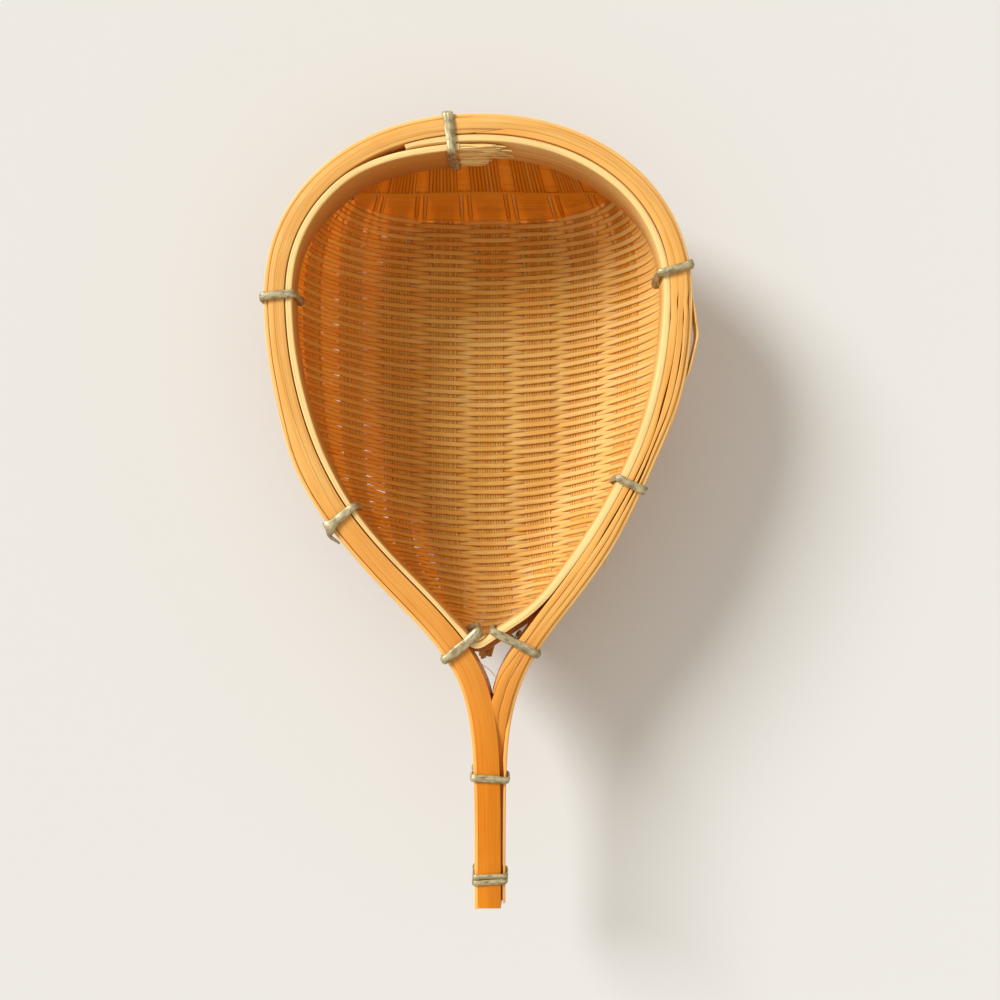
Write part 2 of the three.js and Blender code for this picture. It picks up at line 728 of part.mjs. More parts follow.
// Weft courses: over one rib and under the next, ends up in the slot.
rows.forEach((row) => {
  const edges = rowEdges(row);
  const stops = [];
  const skirt = SKIRT_HIGH - SKIRT_LOW;
  ribNumbers.forEach((k) => {
    const place = ribPlace(k);
    if (!ribFits(k, row)) return;
    const level = (row + k) % 2 === 0 ? -WEFT_OFFSET : WEFT_OFFSET;
    stops.push({ s: place - RIB_WIDTH / 2, level }, { s: place + RIB_WIDTH / 2, level });
  });
  const rings = [];
  const ringAt = (places, level) => {
    const [a, b] = edges.map((e, i) => woven(e, places[i]));
    const [na, nb] = edges.map((e, i) => wovenNormal(e, places[i]));
    rings.push(stripRing(a, b, na, nb, level, WEFT_THICK));
  };
  const climb = (side, share) => edges.map((e) => side * (girth(e, side) + share));
  const between = (side, stop) =>
    edges.map((e) => mix(stop ? stop.s : 0, side * girth(e, side), 0.55));
  ringAt(climb(-1, skirt), 0);
  ringAt(climb(-1, 0), 0);
  ringAt(between(-1, stops[0]), stops.length ? stops[0].level * 0.5 : 0);
  stops.forEach(({ s, level }) => ringAt([s, s], level));
  ringAt(between(1, stops[stops.length - 1]), stops.length ? stops[stops.length - 1].level * 0.5 : 0);
  ringAt(climb(1, 0), 0);
  ringAt(climb(1, skirt), 0);
  const number = String(row + COURSES_FRONT + 1).padStart(2, "0");
  addMesh(`weft_course_${number}`, parted(loft(rings)), bambooTones[(row + COURSES_FRONT) % 4], 0.55);
});

// The two wide bands of the back wall: one in front of the ribs, one behind them.
function wallBand(name, [low, high], level, color) {
  const stops = stationsBetween(-WALL_BAND_REACH, WALL_BAND_REACH, 5);
  const rings = stops.map((s) =>
    stripRing(wall(s, low), wall(s, high), wallNormal(s, low), wallNormal(s, high), level, WEFT_THICK),
  );
  addMesh(name, parted(loft(rings)), color, 0.5);
}

wallBand("back_wall_band_lower", WALL_LOWER, WEFT_OFFSET, 0xc98a3a);
wallBand("back_wall_band_upper", WALL_UPPER, -WEFT_OFFSET, 0xb9782c);

export default scoop;
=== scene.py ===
import math

import bpy
import numpy as np
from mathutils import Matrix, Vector


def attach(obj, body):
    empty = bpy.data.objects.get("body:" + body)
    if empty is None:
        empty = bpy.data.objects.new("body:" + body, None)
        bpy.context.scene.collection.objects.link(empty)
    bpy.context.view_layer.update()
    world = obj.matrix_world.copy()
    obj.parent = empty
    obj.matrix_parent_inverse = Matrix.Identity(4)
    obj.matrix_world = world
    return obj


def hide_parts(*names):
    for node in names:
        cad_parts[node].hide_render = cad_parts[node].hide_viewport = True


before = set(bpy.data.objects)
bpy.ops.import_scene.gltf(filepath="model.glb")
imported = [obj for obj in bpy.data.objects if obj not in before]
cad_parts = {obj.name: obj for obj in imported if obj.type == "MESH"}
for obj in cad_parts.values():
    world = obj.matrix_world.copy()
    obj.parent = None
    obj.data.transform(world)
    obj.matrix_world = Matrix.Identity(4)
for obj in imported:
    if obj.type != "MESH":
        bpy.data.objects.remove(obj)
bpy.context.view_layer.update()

# Handle hoop, skin lath. A thin bamboo strip from the outside of the culm, skin side out, bent
# over steam round the bowl from one end of the handle to the other. Its outline is drawn here
# for all that follows, in millimetres; depths count inwards from it.
MM = 0.001
RIM_HEIGHT = 28.0
LATH_HEIGHT = 7.0
HANDLE_HEIGHT = 4.0
HOOP_HALF_WIDTH = 43.0
HOOP_WIDEST_Y = 21.0
HOOP_BACK_Y = 57.6
HOOP_FRONT_Y = -46.9
FRONT_FULLNESS = 0.672
BACK_SQUARENESS = 2.11
NECK_SOFTNESS = 0.165
HANDLE_END_Y = -102.0
HANDLE_HALF_WIDTH = 3.1
HANDLE_SIDESTEP = 2.4
SIDESTEP_FROM_Y = -20.0
NECK_Y = -58.0
HANDLE_TAPERED_Y = -75.0
LATHS_THICK = 3.9
LEFT_ARM_BROADER = 0.8
LEFT_NECK_BROADER = 0.3
RIGHT_NECK_BROADER = 0.9
RIGHT_END_THICK = 1.15
SWAY_Y = -14.0
SWAY_LENGTH = 12.0
SKIN_THICK = 0.8
SKIN_SHARE = 0.45
SKIN_DROP = 0.4
SKIN_SPRUNG = 0.3
SLIT_LENGTH = 1.5
SPREAD_AT_FOOT = 0.1
rng = np.random.default_rng(7)


def ease(value, start, stop):
    """0 up to start and 1 from stop on, smooth between."""
    t = np.clip((value - start) / (stop - start), 0, 1)
    return t * t * (3 - 2 * t)


class Track:
    """A line read at any length along it; in plan, inward is to the right of travel."""

    def __init__(self, points, endless=False):
        self.points = np.asarray(points, float)
        steps = np.linalg.norm(np.diff(self.points, axis=0), axis=1)
        self.lengths = np.concatenate([[0], np.cumsum(steps)])
        self.length = self.lengths[-1]
        self.endless = endless

    def at(self, s):
        s = np.mod(s, self.length) if self.endless else s
        return np.stack([np.interp(s, self.lengths, c) for c in self.points.T], -1)

    def inward(self, s):
        ahead = self.at(np.asarray(s) + 0.6) - self.at(np.asarray(s) - 0.6)
        normal = np.stack([ahead[..., 1], -ahead[..., 0]], -1)
        return normal / np.linalg.norm(normal, axis=-1, keepdims=True)


def hoop_half_width(y):
    reach = (HOOP_WIDEST_Y - y) / (HOOP_WIDEST_Y - HOOP_FRONT_Y)
    swell = NECK_SOFTNESS * np.log1p(np.exp((1 - reach**2) / NECK_SOFTNESS))
    return HANDLE_HALF_WIDTH + (HOOP_HALF_WIDTH - HANDLE_HALF_WIDTH) * swell**FRONT_FULLNESS


def middle_x(y):
    return HANDLE_SIDESTEP * ease(y, SIDESTEP_FROM_Y, NECK_Y)


def hoop_outline():
    y = np.linspace(HANDLE_END_Y, HOOP_WIDEST_Y, 321)
    left = np.stack([middle_x(y) - hoop_half_width(y), y], -1)
    right = np.stack([middle_x(y) + hoop_half_width(y), y], -1)[::-1]
    turn = np.linspace(math.pi, 0, 241)[1:-1]
    power = 2 / BACK_SQUARENESS
    x = HOOP_HALF_WIDTH * np.abs(np.cos(turn)) ** power * np.sign(np.cos(turn))
    rise = (HOOP_BACK_Y - HOOP_WIDEST_Y) * np.sin(turn) ** power
    back = np.stack([x, HOOP_WIDEST_Y + rise], -1)
    return Track(np.concatenate([left, back, right]))


hoop = hoop_outline()
HOOP_BACK_S = hoop.length / 2


def hoop_s(side, y):
    """Length along the hoop at which its left or right side reaches a place in Y."""
    s = np.linspace(0, HOOP_BACK_S, 4000)
    if side < 0:
        return np.interp(y, hoop.at(s)[:, 1], s)
    return np.interp(y, hoop.at(hoop.length - s)[:, 1], hoop.length - s)


def lath_low(s):
    y = hoop.at(s)[..., 1]
    tapered = ease(y, NECK_Y, HANDLE_TAPERED_Y)
    return RIM_HEIGHT - LATH_HEIGHT + (LATH_HEIGHT - HANDLE_HEIGHT) * tapered


def outer_face(s):
    """Depth of the hoop's outside, which sways to the left in front of its widest place."""
    y = hoop.at(s)[..., 1]
    sway = np.exp(-(((y - SWAY_Y) / SWAY_LENGTH) ** 2)) * ease(y, HOOP_WIDEST_Y, SWAY_Y)
    return np.where(s < HOOP_BACK_S, -sway, sway)


def inner_face(s):
    y = hoop.at(s)[..., 1]
    left = LATHS_THICK + LEFT_ARM_BROADER * ease(y, -8, -45)
    left += LEFT_NECK_BROADER * ease(y, -46, NECK_Y)
    right = LATHS_THICK + RIGHT_NECK_BROADER * ease(y, -48, NECK_Y)
    right += (RIGHT_END_THICK - right) * ease(y, -62, -76)
    return np.where(s < HOOP_BACK_S, left, right)


def skin_inner(s):
    return np.minimum(outer_face(s) + SKIN_THICK, inner_face(s) * SKIN_SHARE)


def opened(s):
    """How far the laths have sprung apart: on the right only, most in front of its tie."""
    y = hoop.at(s)[..., 1]
    closing = 1 - 0.7 * ease(y, SWAY_Y, -50)
    sprung = ease(y, HOOP_WIDEST_Y, 3) * closing * ease(y, -72, NECK_Y)
    return np.where(s > HOOP_BACK_S, sprung, 0.0)


def skin_face(s):
    return outer_face(s) - SKIN_SPRUNG * opened(s)


def slit(s, y):
    """A short split in the right-hand side, widest at a place in Y."""
    away = (hoop.at(s)[..., 1] - y) / SLIT_LENGTH
    return np.where(s > HOOP_BACK_S, np.exp(-(away**2)), 0.0)


class Strips:
    """Collects swept strips, rows of equal rings of points, and makes one piece of them."""

    def __init__(self):
        self.points, self.quads, self.caps, self.grain = [], [], [], []
        self.count = 0

    def sweep(self, rings, along, across, tone):
        n, m = rings.shape[:2]
        row = np.arange(n - 1)[:, None] * m
        j = np.arange(m)[None, :]
        k = (j + 1) % m
        quads = np.stack([row + j, row + k, row + m + k, row + m + j], -1).reshape(-1, 4)
        flat = rings.reshape(-1, 3)
        a, b, c, d = (flat[quads[:, i]] for i in range(4))
        volume = np.sum(a * np.cross(b, c)) + np.sum(a * np.cross(c, d))
        caps = [list(range(m))[::-1], list(range((n - 1) * m, n * m))]
        if volume < 0:
            quads = quads[:, ::-1]
            caps = [cap[::-1] for cap in caps]
        self.points.append(flat)
        self.quads.append(quads + self.count)
        self.caps += [[i + self.count for i in cap] for cap in caps]
        along = np.broadcast_to(np.asarray(along, float)[:, None], (n, m))
        across = np.broadcast_to(np.asarray(across, float), (n, m))
        tone = np.broadcast_to(np.asarray(tone, float), (n, m))
        self.grain.append(np.stack([along, across, tone], -1).reshape(-1, 3))
        self.count += n * m

    def piece(self, name, material, slot, *nodes):
        mesh = bpy.data.meshes.new(name)
        points = np.concatenate(self.points) * MM
        faces = np.concatenate(self.quads).tolist() + self.caps
        mesh.from_pydata(points.tolist(), [], faces)
        grain = mesh.attributes.new("grain", "FLOAT_VECTOR", "POINT")
        grain.data.foreach_set("vector", np.concatenate(self.grain).ravel())
        mesh.polygons.foreach_set("use_smooth", np.ones(len(mesh.polygons), bool))
        mesh.set_sharp_from_angle(angle=math.radians(50))
        mesh.materials.append(material)
        made = bpy.data.objects.new(name, mesh)
        bpy.context.scene.collection.objects.link(made)
        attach(made, "root")
        if nodes:
            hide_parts(*nodes)


def lath(strips, track, s, outer, inner, low, high, corners, tone, spread=(0.0, 0.0)):
    """A lath along a track between two depths and two heights. Its two top edges are rounded
    and its two sides may spread towards the foot."""
    p, q = (np.minimum(r, 0.4 * (inner - outer)) for r in corners)
    toe = np.minimum(0.15, 0.4 * (inner - outer))
    flat = np.zeros_like(s)
    out_low, in_low = outer - spread[0], inner + spread[1]
    depths = [out_low, outer, outer + 0.3 * p, outer + p, inner - q, inner - 0.3 * q, inner]
    depths += [in_low, in_low - toe, out_low + toe]
    heights = [low + toe, high - p, high - 0.3 * p, high, high, high - 0.3 * q, high - q]
    heights += [low + toe, low, low]
    depths = np.stack([d + flat for d in depths], -1)
    heights = np.stack([h + flat for h in heights], -1)
    plan = track.at(s)[:, None] + track.inward(s)[:, None] * depths[..., None]
    strips.sweep(np.concatenate([plan, heights[..., None]], -1), s, depths + heights, tone)


class Shade:
    """A socket in a material's nodes. Arithmetic on it adds Math nodes."""

    def __init__(self, tree, socket=None):
        self.tree, self.socket = tree, socket

    def node(self, kind, settings=None, inputs=None, out=0):
        made = self.tree.nodes.new(kind)
        for name, value in (settings or {}).items():
            setattr(made, name, value)
        for name, value in (inputs or {}).items():
            if isinstance(value, Shade):
                self.tree.links.new(value.socket, made.inputs[name])
            else:
                made.inputs[name].default_value = value
        return None if out is None else Shade(self.tree, made.outputs[out])

    def maths(self, operation, a, b):
        return self.node("ShaderNodeMath", {"operation": operation}, {0: a, 1: b})

    def __add__(self, other):
        return self.maths("ADD", self, other)

    def __sub__(self, other):
        return self.maths("SUBTRACT", self, other)

    def __rsub__(self, other):
        return self.maths("SUBTRACT", other, self)

    def __mul__(self, other):
        return self.maths("MULTIPLY", self, other)

    def __truediv__(self, other):
        return self.maths("DIVIDE", self, other)

    __radd__ = __add__
    __rmul__ = __mul__

    def between(self, low, high):
        """0 below low and 1 above high, smooth between."""
        settings = {"interpolation_type": "SMOOTHSTEP"}
        return self.node("ShaderNodeMapRange", settings, {0: self, 1: low, 2: high})

    def blend(self, a, b):
        """Colour a where this is 0 and colour b where it is 1."""
        return self.node("ShaderNodeMix", {"data_type": "RGBA"}, {0: self, 6: a, 7: b}, 2)


def srgb(red, green, blue):
    """A colour as a screen shows it, 0 to 255, as the linear colour that shaders use."""
    return (*[((c / 255 + 0.055) / 1.055) ** 2.4 for c in (red, green, blue)], 1.0)


def grain_of(shade):
    """Length along a strip, place across it and its own tone, as three values."""
    vector = shade.node("ShaderNodeAttribute", {"attribute_name": "grain"}, out="Vector")
    return [
        shade.node("ShaderNodeSeparateXYZ", inputs={0: vector}, out=axis) for axis in "XYZ"
    ]


def fibres(along, across, strip, length, width, detail=3.0):
    """Noise drawn out along a strip, as fibres of that length and width."""
    place = along.node(
        "ShaderNodeCombineXYZ",
        inputs={0: along / length, 1: across / width, 2: strip},
    )
    inputs = {"Vector": place, "Scale": 1.0, "Detail": detail}
    return along.node("ShaderNodeTexNoise", inputs=inputs)


# Lengths along the hoop between which the handle's polish fades, and the left arm's.
POLISH_FULL = 20.0
POLISH_GONE = 74.0
ARM_POLISH_FULL = 80.0
ARM_POLISH_GONE = 96.0
ARM_POLISH = 0.4


def bamboo(name, pale, ripe, dark, roughness, coat, lines=0.4, tones=0.5, through=0.0, **more):
    """Split bamboo: fibres from ripe to pale, fine dark lines, each strip with its own tone.
    Where the tone is below 0 a strip turns to painted shade, the deeper amber colours given
    for it. The handle, and less so the left arm, turn to the polish. edges gives the distances
    from a strip's middle between which it darkens, painted shade along its sides, and how much."""
    material = bpy.data.materials.new(name)
    material.use_nodes = True
    material.node_tree.nodes.clear()
    shade = Shade(material.node_tree)
    along, across, tone = grain_of(shade)
    # A tone that changes along its strip steps slowly through the noise, or breaks the fibres.
    strip = tone * (6.0 if "aged" in more else 37.0)
    broad = fibres(along, across, strip, length=26.0, width=0.8)
    fine = fibres(along, across, strip, length=10.0, width=0.22, detail=4.0)
    cloud = fibres(along, across, strip, length=13.0, width=11.0, detail=2.0)
    vein = fibres(along, across, strip, length=110.0, width=0.3, detail=2.0).between(0.6, 0.68)
    wood = (broad * 0.8 + fine * 0.4 + cloud * 0.6 + (tone - 0.5) * tones).between(0.45, 1.35)
    colour = (vein * lines + fine.between(0.5, 0.7) * 0.25).blend(wood.blend(ripe, pale), dark)
    rough = fine * 0.3 + (roughness - 0.15)
    gloss = coat
    if "aged" in more:
        # Painted shade: a strip whose tone is set below 0 where it lies in shade turns deeper
        # amber.
        colour = (0.0 - tone).between(0.0, 1.0).blend(colour, wood.blend(*more["aged"]))
    # Painted shade: each strip darkens towards its sides, where shade falls between the
    # splints.
    if "edges" in more:
        start, stop, share = more["edges"]
        side = along.maths("ABSOLUTE", across, 0.0)
        colour = (side.between(start, stop) * share).blend(colour, dark)
    if "polish" in more:
        grip = 1.0 - along.between(POLISH_FULL, POLISH_GONE)
        arm = 1.0 - along.between(ARM_POLISH_FULL, ARM_POLISH_GONE)
        end = along.between(hoop.length - POLISH_GONE, hoop.length - POLISH_FULL)
        worn = grip * (1 - ARM_POLISH) + arm * ARM_POLISH + end
        deep = (wood * 0.7 + cloud * 0.3).blend(*more["polish"])
        colour = (worn * (1.0 - vein * 0.3)).blend(colour, deep)
        rough = rough - worn * 0.12
        gloss = worn * 0.12 + coat
    relief = fine * 0.7 + broad - vein * lines
    bump = shade.node(
        "ShaderNodeBump",
        inputs={"Strength": 0.5, "Distance": 0.00018, "Height": relief},
    )
    surface = shade.node(
        "ShaderNodeBsdfPrincipled",
        inputs={
            "Base Color": colour,
            "Roughness": rough,
            "Normal": bump,
            "Coat Weight": gloss,
            "Coat Roughness": 0.25,
            "Specular IOR Level": 0.22,
        },
    )
    if through:
        glow = shade.node("ShaderNodeBsdfTranslucent", inputs={"Color": srgb(255, 184, 52)})
        surface = shade.node("ShaderNodeMixShader", inputs={0: through, 1: surface, 2: glow})
    shade.node("ShaderNodeOutputMaterial", inputs={0: surface}, out=None)
    return material


hoop_polish = (srgb(204, 110, 2), srgb(220, 136, 16))
skin_bamboo = bamboo(
    "skin_bamboo",
    srgb(244, 202, 126),
    srgb(230, 168, 84),
    srgb(172, 104, 40),
    roughness=0.45,
    coat=0.05,
    polish=(srgb(236, 158, 62), srgb(248, 188, 102)),
)
skin = Strips()
skin_s = np.linspace(0, hoop.length - 1.2, 330)
lath(
    skin,
    hoop,
    skin_s,
    skin_face(skin_s),
    skin_inner(skin_s) - SKIN_SPRUNG * opened(skin_s),
    lath_low(skin_s),
    RIM_HEIGHT - SKIN_DROP,
    corners=(0.2, 0.1),
    tone=0.6,
    spread=(0.0, SPREAD_AT_FOOT * opened(skin_s)),
)
SLIVER_FROM_Y = 20.5
SLIVER_TO_Y = 4.5
SLIVER_THICK = 0.45
SLIVER_SPRING = 1.15
SLIVER_LOW = 23.0
SLIVER_HIGH = 27.3
sliver_share = np.linspace(0, 1, 60)
sliver_s = hoop_s(1, SLIVER_FROM_Y + (SLIVER_TO_Y - SLIVER_FROM_Y) * sliver_share)
sliver_arch = np.interp(
    sliver_share, [0, 0.08, 0.4, 0.48, 0.62, 1], [0, 0.08, 0.95, 1, 0.72, 0]
)
sliver_thick = SLIVER_THICK * np.minimum(1, 4 * np.sin(math.pi * sliver_share) + 0.15)
sliver_inner = skin_face(sliver_s) - SLIVER_SPRING * sliver_arch
lath(
    skin,
    hoop,
    sliver_s,
    sliver_inner - sliver_thick,
    sliver_inner - 0.02,
    SLIVER_LOW + 1.2 * sliver_share,
    SLIVER_HIGH - 0.5 * sliver_arch,
    corners=(0.12, 0.12),
    tone=0.9,
)
SPLINTER_FROM_Y = -31.4
SPLINTER_TO_Y = -33.6
SPLINTER_SPRING = 1.1
SPLINTER_LOW = 25.2
SPLINTER_HIGH = 26.2
splinter_s = np.linspace(hoop_s(1, SPLINTER_FROM_Y), hoop_s(1, SPLINTER_TO_Y), 12)
splinter_share = np.linspace(0, 1, 12)
splinter_inner = skin_face(splinter_s) - SPLINTER_SPRING * splinter_share**1.5
lath(
    skin,
    hoop,
    splinter_s,
    splinter_inner - 0.3 * (1.1 - splinter_share),
    splinter_inner,
    SPLINTER_LOW + 0.4 * splinter_share,
    SPLINTER_HIGH,
    corners=(0.1, 0.1),
    tone=0.95,
)
skin.piece("skin_lath", skin_bamboo, "bamboo_hoop", "handle_hoop_skin")

# Handle hoop, core lath. The thick bamboo lath behind the skin, split from the wall of the
# culm and held by the wire ties; on the right it has begun to part into two layers, and its
# end there lies low beside the left arm.
INNER_LATH_THICK = 0.9
SCARF_LENGTH = 9.0
SEAM = 0.04
SEAM_LEFT = 0.16
SLOT_FILL = 0.25
SLIT_WIDE = 0.24
CORE_END_LOWER = 1.3
CORE_MEETS = 0.3
INNER_LATH_END_Y = -60
inner_lath_start = HOOP_BACK_S + 1
inner_lath_end = hoop_s(1, INNER_LATH_END_Y)


def slot_face(s):
    y = hoop.at(s)[..., 1]
    right = ease(y, -62, -50) * (1 + ease(y, 40, 24) * ease(y, -48, -30))
    return inner_face(s) + SLOT_FILL * np.where(s < HOOP_BACK_S, 1.0, right)


def inner_lath_thick(s):
    start = ease(s, inner_lath_start, inner_lath_start + SCARF_LENGTH)
    end = 0.25 + 0.75 * ease(s, inner_lath_end, inner_lath_end - SCARF_LENGTH)
    return 0.06 + (INNER_LATH_THICK + slot_face(s) - inner_face(s)) * np.minimum(start, end)


def core_inner(s):
    before = ease(s, inner_lath_start - 2, inner_lath_start)
    after = ease(s, inner_lath_end + SCARF_LENGTH / 3, inner_lath_end)
    return slot_face(s) - (inner_lath_thick(s) + SEAM) * np.minimum(before, after)


core_bamboo = bamboo(
    "core_bamboo",
    srgb(238, 188, 108),
    srgb(222, 154, 66),
    srgb(168, 100, 40),
    roughness=0.52,
    coat=0.02,
    lines=0.6,
    polish=hoop_polish,
)
core = Strips()
core_s = np.linspace(0.3, hoop.length - 1.4, 380)
core_y = hoop.at(core_s)[:, 1]
core_open = opened(core_s)
core_seam = np.where(core_s < HOOP_BACK_S, SEAM_LEFT * ease(core_y, -56, -40), 0.0)
core_outer = skin_inner(core_s) + SEAM - SKIN_SPRUNG * core_open + core_seam
core_outer += SLIT_WIDE * slit(core_s, 19.8)
core_wide = core_inner(core_s) - core_outer
core_drop = np.where(core_s > HOOP_BACK_S, CORE_END_LOWER * ease(core_y, -62, -74), 0.0)


def wander(s, start):
    """A slow, uneven wave along a lath, about -1 to 1."""
    waves = 0.5 * np.sin(s / 4.3 + start) + 0.35 * np.sin(s / 2.3 + 2 * start)
    return waves + 0.25 * np.sin(s / 9.1)


crack = core_open * np.maximum(0, 0.24 + 0.2 * wander(core_s, 1.0)) - 0.01
crack += SLIT_WIDE * slit(core_s, 16.4)
parting = core_outer + core_wide * (0.47 + 0.07 * wander(core_s, 3.0) * core_open)
core_edge = 0.09 * core_open
neck_left, neck_right = ease(core_y, -54, -60), ease(core_y, -66, -72)
core_meets = CORE_MEETS * np.where(core_s < HOOP_BACK_S, neck_left, neck_right)
for outer, inner, drop, tone, corners, spread in (
    (
        core_outer,
        parting - crack / 2,
        0.1 * core_open,
        0.45,
        (0.1 + core_edge, core_edge),
        (0.05 * core_open, crack / 2),
    ),
    (
        parting + crack / 2,
        core_inner(core_s),
        0.0,
        0.5,
        (core_edge, 0.05 + core_edge),
        (crack / 2, core_meets + 0.08 * core_open),
    ),
):
    lath(
        core,
        hoop,
        core_s,
        outer,
        inner,
        lath_low(core_s),
        RIM_HEIGHT - drop - core_drop,
        corners,
        tone,
        spread,
    )
core.piece("core_lath", core_bamboo, "bamboo_hoop", "handle_hoop_core")

# Handle hoop, inner lath. A third, thin layer of bamboo, tied in with the other two, that
# stiffens the right-hand side from the back to the neck; it starts as a scarf behind the back
# tie and thins out again at the neck.
inner_lath_bamboo = bamboo(
    "inner_lath_bamboo",
    srgb(243, 185, 100),
    srgb(227, 152, 60),
    srgb(168, 100, 38),
    roughness=0.5,
    coat=0.03,
    lines=0.6,
    polish=(srgb(220, 136, 36), srgb(232, 162, 70)),
)
inner_lath = Strips()
inner_lath_s = np.linspace(inner_lath_start, inner_lath_end, 170)
inner_lath_open = opened(inner_lath_s)
inner_lath_outer = slot_face(inner_lath_s) - inner_lath_thick(inner_lath_s)
inner_lath_outer += inner_lath_open * np.maximum(0, 0.18 + 0.2 * wander(inner_lath_s, 5.0))
inner_lath_outer += SLIT_WIDE * slit(inner_lath_s, 19.6)
lath(
    inner_lath,
    hoop,
    inner_lath_s,
    inner_lath_outer,
    slot_face(inner_lath_s) - 0.14 * slit(inner_lath_s, 16.5),
    lath_low(inner_lath_s),
    RIM_HEIGHT - 0.08 * inner_lath_open,
    corners=(0.04 + 0.08 * inner_lath_open, 0.06),
    tone=0.7,
    spread=(SPREAD_AT_FOOT * inner_lath_open, 0.0),
)
inner_lath.piece("inner_lath", inner_lath_bamboo, "bamboo_hoop", "handle_hoop_inner_lath")

# Inner hoop. A pale bamboo lath bent to the bowl's opening, less tall at its sides, that clamps
# the edge of the weave against the laths; its ends pass each other at the back, where the
# inner one is torn off and frayed.
SLOT = 0.8
INNER_HOOP_THICK = 1.5
SKIRT_LOW = 18.0
LAP_LEFT_X = -13.6
LAP_RIGHT_X = 7.4
LAP_STEP = 16.0
TORN_LENGTH = 10.0
SLOT_CLOSE = 0.25
RING_CORNER_X = -0.8
RING_CORNER_Y = -50.9
RING_CROSSING = 0.588
RING_TURN = 3.0
RING_KNEE = 5.0
LAP_CLEAR = 0.15
SIDE_FOOT_HIGHER = 4.5
SIDE_FROM = 28.0
SIDE_FULL = 48.0
TORN_FIBRES = 170


def bent(start, knee, end, count=40):
    """A curve that sets out towards the knee and arrives from it."""
    t = np.linspace(0, 1, count)[:, None]
    return start * (1 - t) ** 2 + knee * 2 * t * (1 - t) + end * t**2


def ring_outline():
    """The middle of the slot. It follows both arms, leaves the right one first and crosses
    almost straight to the left one, where it turns in a rounded corner."""
    left_s = np.linspace(hoop_s(-1, -50), HOOP_BACK_S, 180)
    right_s = np.linspace(HOOP_BACK_S, hoop_s(1, -40), 170)
    up_left, down_right = (
        hoop.at(s) + hoop.inward(s) * (inner_face(s) + SLOT / 2)[:, None]
        for s in (left_s, right_s)
    )
    corner = np.array([RING_CORNER_X, RING_CORNER_Y])
    heading = np.array([-math.cos(RING_CROSSING), -math.sin(RING_CROSSING)])
    start = down_right[-1]
    leave = start - down_right[-4]
    gap = corner - start
    wanted, step = (v[0] * heading[1] - v[1] * heading[0] for v in (gap, leave))
    knee = start + leave * (wanted / step)
    back = (up_left[0] - corner) / np.linalg.norm(up_left[0] - corner)
    crossing = bent(start, knee, knee + heading * RING_KNEE)
    turn = bent(corner - heading * RING_TURN, corner, corner + back * RING_TURN)
    return Track(np.concatenate([down_right, crossing[1:], turn, up_left]), endless=True)


ring = ring_outline()
ring_y = ring.points[:, 1]
tip_index = int(np.argmin(ring_y))
TIP_S = ring.lengths[tip_index]


def lap_step(s):
    start = ring.length + LAP_LEFT_X
    return (INNER_HOOP_THICK + LAP_CLEAR) * ease(s, start - LAP_STEP, start + LAP_STEP / 2)


def hoop_thick(s):
    lower_left = ease(s, TIP_S + 1, TIP_S + 8) * ease(ring.at(s)[..., 1], 0, -35)
    thinned = ease(s, LAP_LEFT_X + 10, LAP_LEFT_X)
    return INNER_HOOP_THICK - 0.1 - 0.5 * lower_left - 0.4 * thinned


def hoop_low(s):
    from_back = np.abs(np.mod(s + ring.length / 2, ring.length) - ring.length / 2)
    return SKIRT_LOW + SIDE_FOOT_HIGHER * ease(from_back, SIDE_FROM, SIDE_FULL)


pale_bamboo = bamboo(
    "pale_bamboo",
    srgb(242, 208, 138),
    srgb(220, 158, 80),
    srgb(166, 100, 38),
    roughness=0.55,
    coat=0.0,
    lines=0.25,
    tones=1.1,
    aged=(srgb(186, 118, 54), srgb(206, 142, 74)),
)
inner_hoop = Strips()
hoop_run = np.linspace(LAP_LEFT_X, ring.length + LAP_RIGHT_X - TORN_LENGTH, 300)
inner_hoop_depth = SLOT / 2 - SLOT_CLOSE + lap_step(hoop_run)
edge_tone = np.array([0.1, 0.5, 0.8, 0.85, 0.85, 0.65, 0.5, 0.35, 0.35, 0.3])
# Painted shade: the inner face turns brown on the left and round the back, where it lies in
# shade.
face_painted_shade = ease(hoop_run, TIP_S, TIP_S + 30)
face_share = np.array([0, 0, 0, 0, 0, 0.3, 0.9, 1.0, 1.0, 0])
hoop_tone = edge_tone - face_painted_shade[:, None] * face_share
lath(
    inner_hoop,
    ring,
    hoop_run,
    inner_hoop_depth,
    inner_hoop_depth + hoop_thick(hoop_run),
    hoop_low(hoop_run),
    RIM_HEIGHT,
    corners=(0.1, 0.3),
    tone=hoop_tone,
)
inner_hoop.piece("inner_hoop", pale_bamboo, "bamboo_inner_hoop", "inner_hoop")

